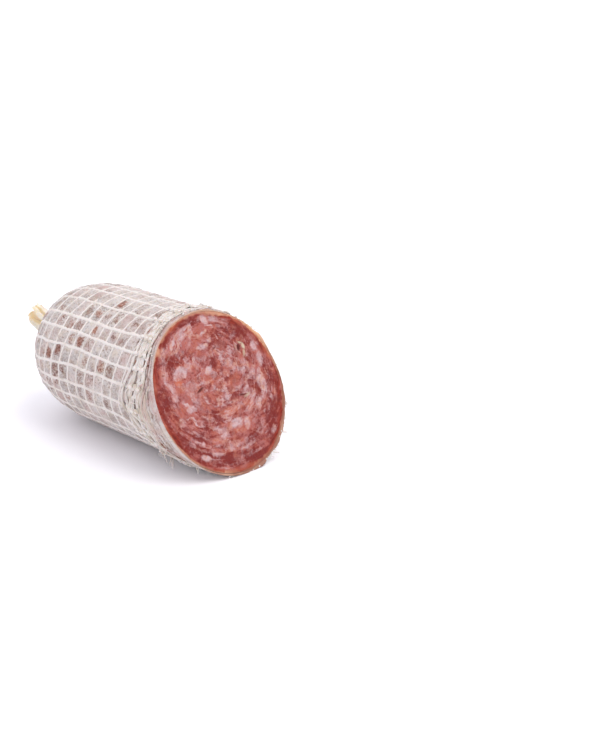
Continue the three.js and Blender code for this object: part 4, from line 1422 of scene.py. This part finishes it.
def build_tuft(skin, settings):
    """The dry end of the gut: a pleated, flattened funnel with a ragged rim."""
    body = skin.body
    ring = np.arange(TUFT_COLUMNS)
    t, turn = np.meshgrid(np.linspace(0, 1, TUFT_ROWS), ring / TUFT_COLUMNS * FULL_TURN,
                          indexing="ij")
    opened = smooth(0, 0.45, t) * (1 - 0.42 * smooth(0.55, 1.0, t))
    ragged = 1 + 0.07 * np.sin(3 * turn + 1) + 0.05 * np.sin(7 * turn) + 0.03 * np.sin(13 * turn)
    pleat = np.sin(6 * turn + 1.2 * np.sin(2 * turn) + 1.1 * t)
    fine = np.sin(17 * turn + 2.1 * np.sin(4 * turn) + 2 * t)
    push = (0.3 * MM + 0.6 * MM * opened) * pleat + 0.25 * MM * fine
    half_wide = body.neck_radius * (1 - opened) + TUFT_HALF_WIDE * opened
    half_thick = body.neck_radius * (1 - opened) + TUFT_HALF_THICK * opened
    back = body.length + body.neck_length - 3 * MM + t * TUFT_LENGTH * ragged
    rise = 3.5 * MM * t + 9.5 * MM * t**2
    bend = 6 * MM * t**2

    def sheet(inward):
        across = (half_wide + push - inward) * np.cos(turn)
        through = (half_thick + push - inward) * np.sin(turn)
        fold = 0.6 * MM * opened * np.sin(across / (8 * MM) * 2.2 * math.pi)
        return np.stack([skin.face_x - back, skin.middle_y + through + fold + 0.35 * across - bend,
                         skin.middle_height(body.length) + across + rise], -1).reshape(-1, 3)

    outer = sheet(0.0)
    uneven = 0.5 * MM * layered_noise(outer, 5 * MM, 3, 101)[:, None]
    points = np.concatenate([outer + uneven, sheet(TUFT_WALL) + uneven])
    inner_first = TUFT_ROWS * TUFT_COLUMNS
    last = inner_first - TUFT_COLUMNS
    grid = grid_faces(TUFT_ROWS, TUFT_COLUMNS)
    faces = np.concatenate([grid[:, ::-1], grid + inner_first, band(ring, inner_first + ring),
                            band(last + ring, inner_first + last + ring)[:, ::-1]]).tolist()
    # Painted shade in the hollows of the pleats, read by the tuft's material
    painted_pleat_shade = 0.8 * (smooth(0.1, -0.9, pleat) * smooth(0, 0.3, t)).ravel()
    made = make_object("dry_tuft", points, faces, tuft_finish(settings),
                       {"fold": np.tile(painted_pleat_shade, 2)})
    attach(made, "root")
    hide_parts("casing")


# The net


STITCH = 2.3 * MM  # length of a knitted stitch
STRING_STEP = 0.62 * MM  # between rings of points along a string
HOOP_STEP = 0.85 * MM  # the same round a hoop
SHORTEST_HOOP = 12  # points that are left of a hoop after the cut


def string_seat(skin, pattern, way, angle):
    """Points where strings lie in their grooves, and the direction off the skin."""
    points = skin.at(way, angle, pattern.relief(way, angle) + 0.42 * skin.net.thickness)
    return points, skin.normal(way, angle)


def build_strings(skin, pattern, material):
    """The knitted strings that run from the net's edge to the neck."""
    net = skin.net
    weave = Weave()
    random = np.random.default_rng(31)
    for index in range(net.strings):
        even = (index + 0.5) * pattern.step - UP
        start = pattern.front(np.array([even]))[0]
        stop = skin.neck_way + 3 * MM
        count = int((stop - start) / STRING_STEP)
        way = np.linspace(start, stop, count)
        angle = pattern.string_angle(index, way)
        gap = way - start
        folded = 1 - smooth(4 * MM, 15 * MM, gap)
        phase = random.random() * FULL_TURN
        zigzag = folded * 1.7 * MM * np.sin(gap / (4.6 * MM) * FULL_TURN + phase)
        angle = angle + zigzag / USUAL_RADIUS
        path, out = string_seat(skin, pattern, way, angle)
        path += out * (folded * 0.9 * MM)[:, None]
        along_place = pattern.meshes(way, angle)[1]
        at_hoop = 1 - smooth(0.02, 0.14, np.abs(along_place - np.round(along_place)))
        crowd = smooth(2 * MM, 14 * MM, skin.radius_at(way))
        stitch = way / STITCH * math.pi
        side = unit(np.cross(np.gradient(path, axis=0), out))
        path += side * (0.16 * MM * np.sin(stitch))[:, None]
        width = net.string_width * (0.62 + 0.38 * crowd) * (1 + 0.12 * np.abs(np.cos(stitch)))
        width = width * (1 + 0.25 * at_hoop) * (0.9 + 0.2 * random.random())
        height = net.thickness * (1 + 0.2 * at_hoop)
        weave.tube(press_on_floor(path, 0.6 * MM), out, width, height, sides=8, lobes=1,
                   pitch=STITCH, depth=0.13, phase=phase,
                   tint=0.45 * random.random() + 0.5 * folded)
    made = weave.make("net_strings", material)
    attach(made, "root")
    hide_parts("net")


def build_hoops(skin, pattern, material):
    """The thinner strings that run round the body; those that the cut crossed are open."""
    net = skin.net
    weave = Weave()
    random = np.random.default_rng(37)
    last = int(pattern.last_hoop_way / net.pitch)
    first = -int(28 * MM / net.pitch)
    for index in range(first, last + 1):
        near = max(float(skin.radius_at(index * net.pitch)), 10 * MM)
        count = int(FULL_TURN * near / HOOP_STEP)
        angle = np.arange(count) / count * FULL_TURN
        way, ahead = pattern.hoop_way(index, angle)
        kept = ahead > 0
        whole = kept.all()
        if not whole:
            if kept.sum() < SHORTEST_HOOP:
                continue
            start = int(np.argmin(kept))
            order = (np.arange(count) + start) % count
            order = order[kept[order]]
            angle, way = angle[order], way[order]
        path, out = string_seat(skin, pattern, way, angle)
        between = midway(pattern.meshes(way, angle)[0])
        path -= out * (0.12 * MM * between)[:, None]
        wide = net.hoop_width * (0.85 + 0.3 * random.random()) * (1 - 0.15 * between)
        weave.tube(press_on_floor(path, 0.45 * MM), out, wide, 0.85 * net.thickness, sides=7,
                   closed=whole, lobes=2, pitch=3.1 * MM, depth=0.16,
                   tint=0.5 * random.random())
    made = weave.make("net_hoops", material)
    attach(made, "root")
    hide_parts("net")


# Ribbons of net pushed together behind the cut: millimetres behind the edge's front, lift,
# width and bow between two strings, all in millimetres.
EDGE_CORDS = (
    (0.6, 0.25, 1.7, 0.6), (2.9, 0.5, 2.8, 0.4), (5.6, 0.6, 2.6, 0.4), (8, 0.4, 2, -0.4),
    (10.4, 0.3, 1.5, 0.8),
)
FOLDED_THREADS = 82  # over the bare strip, most of them low on the -Y side
SLACK_THREADS = 60  # tried, of which those where the net is slack are kept
CORD_POINTS = 500  # along each cord
KNOTS_BEHIND = (1.5, 4.9, 9.4)  # the edge's front, in millimetres


def add_edge_cords(weave, skin, pattern, random):
    """Wavy cords of bunched net, pinched at each string, with two threads wound on each."""
    angle = np.arange(CORD_POINTS) / CORD_POINTS * FULL_TURN
    ring = on_ring(angle)
    degrees = np.degrees(angle)
    loose = 0.75 + 0.65 * close_to(degrees, 172, 36)
    low_side = 0.4 * close_to(degrees, 205, 40)
    for cord, (offset, lift, width, bow) in enumerate(EDGE_CORDS):
        way = pattern.front(angle) + offset * MM * loose
        place = pattern.meshes(way, angle)[0]
        slack = midway(place) ** 0.7
        own = cell_random(np.mod(np.floor(place), skin.net.strings), seed=111 + cord)
        sway = 0.7 * MM * layered_noise(ring, 13 * MM, 2, 111 + cord)
        way = way + sway + bow * MM * slack * (0.5 + own)
        rise = lift * MM + 0.5 * MM * noise(ring, 12 * MM, 121 + cord) + 0.4 * MM * (1 - slack)
        full = 1 + 0.3 * layered_noise(ring, 8 * MM, 2, 131 + cord)
        soiled = 0.3 + 0.45 * layered_noise(ring, 6 * MM, 3, 151 + cord) + low_side
        wide = width * MM * full * (0.85 + 0.25 * slack)
        way = way + pattern.slots(way, angle, wide / 2)[1]
        weave.lay(skin, way, angle, rise, wide, 1.0 * MM * full, sides=12, closed=True, lobes=4,
                  pitch=5.5 * MM, depth=0.12, tint=soiled)
        for strand in range(2):
            wound = angle * (9 + 2 * cord) + strand * math.pi
            wound = wound + 2.5 * noise(ring, 16 * MM, 141 + cord)
            thread = (0.75 + 0.3 * random.random()) * MM
            weave.lay(skin, way + 0.28 * wide * np.cos(wound), angle,
                      rise + (0.35 + 0.25 * np.sin(wound)) * MM, thread, 0.8 * thread, sides=6,
                      closed=True, lobes=2, pitch=2.9 * MM, depth=0.2, tint=soiled)


def add_folded_threads(weave, skin, pattern, random):
    """Flat loops of thread that lie over the bare strip."""
    t = np.linspace(0, 1, 26)
    ends = np.sqrt(np.maximum(1 - (2 * t - 1) ** 6, 0.02))
    for _ in range(FOLDED_THREADS):
        start = math.radians(random.normal(207, 18))
        arc = (9 + 17 * random.random()) * MM
        angle = start + (t - 0.5) * arc / USUAL_RADIUS
        nearest = 0.4 + 0.6 * smooth(172, 217, math.degrees(start))
        share = nearest + (1.1 - nearest) * random.random()
        sway = (0.5 * np.sin(t * 6 + random.random() * 6) + 0.9 * (t - 0.5)) * MM
        way = skin.cut_way(angle) + share * pattern.edge(angle) + sway
        way = way + pattern.slots(way, angle)[1]
        wide = (0.9 + 0.8 * random.random()) * MM * ends
        lift = (0.15 + 0.45 * random.random()) * MM
        weave.lay(skin, way, angle, lift, wide, 0.7 * MM * ends, sides=6, lobes=2,
                  pitch=3.4 * MM, depth=0.18, tint=0.45 + 1.7 * random.random())


def add_slack_threads(weave, skin, pattern, random):
    """Threads that run askew over the cords, most where the net is slackest."""
    t = np.linspace(0, 1, 22)
    for _ in range(SLACK_THREADS):
        start = random.random() * FULL_TURN
        slack = float(close_to(math.degrees(start), 190, 34))
        if random.random() > 0.3 + 0.7 * slack:
            continue
        sweep = (6 + 9 * random.random()) * random.choice([-1, 1]) * MM
        angle = start + t * sweep / USUAL_RADIUS
        low, high = random.random() * 7, random.random() * 9
        bowed = 0.8 * np.sin(t * math.pi * (1 + 2 * random.random()))
        gap = (low + (high - low) * t + bowed) * MM * (0.72 + 0.75 * slack)
        lift = (0.7 + 1.1 * np.sin(t * math.pi) * random.random()) * MM
        way = pattern.front(angle) + gap
        way = way + pattern.slots(way, angle, 0.8 * MM)[1]
        wide = (1.0 + 0.5 * random.random()) * MM
        weave.lay(skin, way, angle, lift, wide, 0.8 * wide, sides=6, lobes=2, pitch=2.6 * MM,
                  depth=0.2, tint=random.random())


def add_edge_knots(weave, skin, pattern, random):
    """Knots where the strings cross the cords, with a few left out."""
    t = np.linspace(-1, 1, 9)
    full = np.sqrt(np.maximum(1 - t**2, 0.02))
    for index in range(skin.net.strings):
        for offset in KNOTS_BEHIND:
            if random.random() < 0.2:
                continue
            at = np.array([(index + 0.5) * pattern.step - UP])
            way = pattern.front(at) + offset * MM
            at = pattern.string_angle(index, way)
            way = way + (1.3 + 0.6 * random.random()) * MM * t
            lift = (1.5 + 0.5 * random.random()) * MM
            wide = (2.1 + 0.7 * random.random()) * MM * full
            weave.lay(skin, way, at + 0 * t, lift, wide, 1.5 * MM * full, sides=9, lobes=2,
                      pitch=2.0 * MM, depth=0.15, tint=0.2 * random.random())


def build_net_edge(skin, pattern, material):
    """The folds of net pushed together behind the cut."""
    weave = Weave()
    random = np.random.default_rng(43)
    add_edge_cords(weave, skin, pattern, random)
    add_folded_threads(weave, skin, pattern, random)
    add_slack_threads(weave, skin, pattern, random)
    add_edge_knots(weave, skin, pattern, random)
    made = weave.make("net_edge", material)
    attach(made, "root")
    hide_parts("net")


def build_tie(skin, pattern, material):
    """The twine wound round the neck over the gathered net, and the net's loose ends behind."""
    body = skin.body
    weave = Weave()
    random = np.random.default_rng(47)
    height = skin.middle_height(body.length)

    def wind(back, radius, angle, width, thickness, **knit):
        out = np.stack([0 * angle, np.cos(angle), np.sin(angle)], -1)
        weave.tube(skin.place(back, radius, angle, height), out, width, thickness, lobes=2, **knit)

    t = np.linspace(0, 1, int(TIE_TURNS * 44))
    angle = t * TIE_TURNS * FULL_TURN
    radius = body.neck_radius + (1.9 + 0.25 * np.sin(angle * 0.7)) * MM
    wind(body.length + (3.2 + 4.2 * t) * MM, radius, angle, 1.5 * MM, 1.4 * MM, sides=8,
         pitch=2.6 * MM, depth=0.18, tint=0.7)
    t = np.linspace(0, 1, 18)
    for index in range(skin.net.strings):
        reach = (4 + 7 * random.random()) * MM
        swing = (random.random() - 0.5) * 0.9
        angle = (index + 0.5) * pattern.step - UP + swing * t**2
        spread = 1.8 * t**1.5 * random.random() + 2.2 * t**2 * random.random()
        radius = body.neck_radius + (0.7 + spread) * MM
        wind(body.length + 7 * MM + reach * t, radius, angle, (1.0 - 0.5 * t) * MM,
             (0.9 - 0.45 * t) * MM, sides=6, pitch=2.4 * MM, depth=0.15, tint=random.random())
    made = weave.make("neck_tie", material)
    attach(made, "root")
    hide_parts("net")


TIE_TURNS = 4.5  # of twine round the neck
STRAY_THREADS = 90  # short ends along the net's edge, all round
EDGE_STUBS = 40  # bits of skin and thread along the low end of the cut edge

# Tufts of thread that show best: degrees round, millimetres behind the cut, length, how far it
# points away from the casing and how far towards the cut, with 1 for straight, and strands.
LONG_THREADS = (
    (221, 27.5, 7, 0.9, 0.9, 6), (231, 29.5, 7.5, 0.9, 0.7, 5), (241, 15, 4, 0.8, 0.6, 3),
    (12, 2.5, 3, 1, 0.3, 2), (258, 5, 5, 0.4, 0.9, 3), (264, 4, 4, 0.4, 0.8, 3),
    (272, 4, 5, 0.3, 0.9, 3), (280, 4, 4, 0.4, 0.9, 3), (288, 4, 4.5, 0.6, 0.7, 3),
    (140, 6, 3.5, 0.8, 0.6, 2), (118, 4, 3, 0.7, 0.7, 2),
)

# Flakes of dry skin at the cut: degrees round, millimetres behind the cut, length away from the
# casing, thickness, how many times as wide round the rim as it is thick, and its lean round.
FLAKES = (
    (-21, 1.2, 3.6, 1, 3.6, 0), (-23.5, 1.5, 2.6, 1, 2.6, 0), (-32, 0.8, 1.9, 0.9, 6.5, 0),
    (-36, 0.8, 1.5, 0.9, 4.5, 0), (-42.5, 0.4, 5.4, 1.2, 2, 0.6), (-50, 1.2, 4.2, 1, 1.8, -0.5),
    (-61, 1, 7.5, 1.1, 1.3, 1.2), (-64, 1.5, 5, 0.9, 1.3, 0.9), (52, 1.5, 1.6, 0.9, 3, 0),
    (38, 1, 1.4, 1, 4, 0), (6, 1.5, 1.6, 0.8, 2.5, 0), (-82, 1, 1.5, 0.8, 4, 0),
    (100, 1.2, 1.2, 0.8, 3.5, 0),
)


def build_loose_ends(skin, pattern, material):
    """Frayed thread ends along the net's cut edge, and flakes of skin at the cut."""
    weave = Weave()
    random = np.random.default_rng(53)
    t = np.linspace(0, 1, 12)

    def thread(degrees, gap, length, away, forward, thick, curl, broad=1.0, straight=0.0,
               sideways=0.0):
        start = math.radians(degrees)
        at = np.array([start])
        way = skin.cut_way(at) + gap
        root = skin.at(way, at, 0.5 * MM)[0]
        out = skin.normal(way, at)[0]
        side = np.array([0, -math.sin(start), math.cos(start)])
        lean = sideways + random.normal(0, 0.35) * (1 - straight)
        path = root + (length * t[:, None]) * unit(
            out * away + np.array([1.0, 0, 0]) * forward + side * lean)
        path += (length * t**2)[:, None] * (side * curl * 0.5 - np.array([0, 0, 0.25]))
        swing = 0.06 * length * np.sin(t * 9 + random.random() * 6)
        path += swing[:, None] * np.array([1.0, 0, 0])
        full = thick * (1 - 0.55 * t)
        weave.tube(press_on_floor(path, 0.4 * MM), side, full, full * broad, sides=6, lobes=2,
                   pitch=2.0 * MM, depth=0.12 * (1 - straight), tint=random.random() * 0.6)

    for degrees, gap, length, away, forward, strands in LONG_THREADS:
        for _ in range(strands):
            thread(degrees + random.normal(0, 0.9), (gap + random.normal(0, 0.5)) * MM,
                   length * (0.65 + 0.45 * random.random()) * MM, away, forward,
                   (0.7 + 0.4 * random.random()) * MM, random.normal(0, 0.5), straight=0.6)
    for degrees, gap, length, thick, broad, sideways in FLAKES:
        thread(degrees, gap * MM, length * MM, 1.0, 0.1, thick * MM, 0.2, broad, 1.0, sideways)
    for _ in range(STRAY_THREADS):
        degrees = random.random() * 360
        gap = pattern.edge(np.array([math.radians(degrees)]))[0] + random.normal(0, 2.4) * MM
        thread(degrees, gap, (1.5 + 2.5 * random.random() ** 2) * MM, 0.3 + random.random(),
               random.normal(0.5, 0.8), (0.4 + 0.35 * random.random()) * MM,
               random.normal(0, 1.2))
    for _ in range(EDGE_STUBS):
        degrees = random.normal(-72, 20)
        thread(degrees, random.random() * 0.9 * MM, (0.8 + 1.2 * random.random() ** 2) * MM,
               0.5 + random.random(), random.normal(0.2, 0.6),
               (0.7 + 0.8 * random.random()) * MM, random.normal(0, 1.0))
    made = weave.make("loose_threads", material)
    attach(made, "root")
    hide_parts("net")


# The stage


FLOOR_HALF = 8.0
KEY_DIRECTION = Vector((-0.68, -0.18, -1.0))  # the way the soft light shines
KEY_COLOUR = (1.0, 0.985, 0.93)
AIM = Vector((10.4, 63.0, 50.4)) * MM  # that the camera looks at, from below the cut face


def build_stage(stage, skin):
    """A plain pale floor, an even sky, a large soft light and the camera."""
    scene = bpy.context.scene
    world = bpy.data.worlds.new("soft_sky")
    world.use_nodes = True
    background = world.node_tree.nodes["Background"]
    background.inputs["Color"].default_value = (*stage.sky_colour, 1)
    background.inputs["Strength"].default_value = stage.sky
    scene.world = world
    scene.view_settings.view_transform = "Standard"
    scene.view_settings.look = "None"
    corners = [(x * FLOOR_HALF, y * FLOOR_HALF, 0) for x, y in ((-1, -1), (1, -1), (1, 1), (-1, 1))]
    floor = make_object("floor", corners, [(0, 1, 2, 3)], floor_finish())
    light = bpy.data.lights.new("soft_key", "SUN")
    light.energy = stage.key_strength
    light.angle = stage.key_spread
    light.color = KEY_COLOUR
    key = bpy.data.objects.new("soft_key", light)
    key.rotation_euler = KEY_DIRECTION.to_track_quat("-Z", "Y").to_euler()
    scene.collection.objects.link(key)
    data = bpy.data.cameras.new("camera")
    data.lens = stage.lens
    data.sensor_width = 36
    data.clip_end = 40
    camera = bpy.data.objects.new("camera", data)
    a, e = stage.camera_azimuth, stage.camera_elevation
    back = Vector((math.sin(a) * math.cos(e), -math.cos(a) * math.cos(e), math.sin(e)))
    aim = Vector((skin.face_x, skin.middle_y, 0)) + AIM
    camera.location = aim + back * stage.camera_distance
    camera.rotation_euler = (-back).to_track_quat("-Z", "Y").to_euler()
    scene.collection.objects.link(camera)
    scene.camera = camera


def floor_finish():
    """White table top."""
    f = Finish("white_table")
    grain = f.speckle(40 * MM, 2, 0.5)
    colour = f.mix(f.spread(grain, 0.3, 0.7, 0, 0.3), (0.93, 0.92, 0.945), (0.91, 0.90, 0.925))
    return f.finish(colour, 0.75, Specular_IOR_Level=0.2)


# Operators


def shared_form():
    """The skin and the net pattern from the scene's settings."""
    scene = bpy.context.scene
    skin = Skin(scene.salami_body, scene.salami_net)
    return skin, NetPattern(skin)


def string_material():
    """The one string material of the net."""
    return bpy.data.materials.get("cotton_string") or string_finish(bpy.context.scene.salami_net)


class SALAMI_OT_stage(bpy.types.Operator):
    """Set up the floor, the light and the camera"""

    bl_idname = "salami.stage"
    bl_label = "Stage"

    def execute(self, context):
        skin, _ = shared_form()
        build_stage(context.scene.salami_stage, skin)
        return {"FINISHED"}


class SALAMI_OT_meat(bpy.types.Operator):
    """Make the cured meat with its cut face"""

    bl_idname = "salami.meat"
    bl_label = "Meat"

    def execute(self, context):
        skin, _ = shared_form()
        build_meat(skin, context.scene.salami_meat)
        return {"FINISHED"}


class SALAMI_OT_casing(bpy.types.Operator):
    """Make the moulded casing and its dry tuft"""

    bl_idname = "salami.casing"
    bl_label = "Casing"

    def execute(self, context):
        skin, pattern = shared_form()
        build_casing(skin, pattern, context.scene.salami_casing)
        build_tuft(skin, context.scene.salami_casing)
        return {"FINISHED"}


class SALAMI_OT_net(bpy.types.Operator):
    """Knit the net of lengthways strings and hoops"""

    bl_idname = "salami.net"
    bl_label = "Net"

    def execute(self, context):
        skin, pattern = shared_form()
        material = string_material()
        build_strings(skin, pattern, material)
        build_hoops(skin, pattern, material)
        return {"FINISHED"}


class SALAMI_OT_net_ends(bpy.types.Operator):
    """Make the net's pushed-back edge, its tie and its loose threads"""

    bl_idname = "salami.net_ends"
    bl_label = "Net ends"

    def execute(self, context):
        skin, pattern = shared_form()
        material = string_material()
        build_net_edge(skin, pattern, material)
        build_tie(skin, pattern, material)
        build_loose_ends(skin, pattern, material)
        return {"FINISHED"}


class SALAMI_PT_panel(bpy.types.Panel):
    """Lists the salami's pieces in the sidebar"""

    bl_label = "Country Salami"
    bl_space_type = "VIEW_3D"
    bl_region_type = "UI"
    bl_category = "Salami"

    def draw(self, context):
        for operator in OPERATORS:
            self.layout.operator(operator.bl_idname)
        for name in SETTINGS:
            group = getattr(context.scene, name)
            box = self.layout.box()
            for key in group.bl_rna.properties.keys():
                if key not in ("rna_type", "name"):
                    box.prop(group, key)


SETTINGS = {
    "salami_body": SalamiBodySettings,
    "salami_net": SalamiNetSettings,
    "salami_meat": SalamiMeatSettings,
    "salami_casing": SalamiCasingSettings,
    "salami_stage": SalamiStageSettings,
}
OPERATORS = (SALAMI_OT_stage, SALAMI_OT_meat, SALAMI_OT_casing, SALAMI_OT_net,
             SALAMI_OT_net_ends)


def register():
    for name, group in SETTINGS.items():
        bpy.utils.register_class(group)
        setattr(bpy.types.Scene, name, bpy.props.PointerProperty(type=group))
    for operator in OPERATORS:
        bpy.utils.register_class(operator)
    bpy.utils.register_class(SALAMI_PT_panel)


def unregister():
    bpy.utils.unregister_class(SALAMI_PT_panel)
    for operator in reversed(OPERATORS):
        bpy.utils.unregister_class(operator)
    for name, group in reversed(SETTINGS.items()):
        delattr(bpy.types.Scene, name)
        bpy.utils.unregister_class(group)


def main():
    register()
    bpy.ops.salami.stage()
    bpy.ops.salami.meat()
    bpy.ops.salami.casing()
    bpy.ops.salami.net()
    bpy.ops.salami.net_ends()


if __name__ == "__main__":
    main()
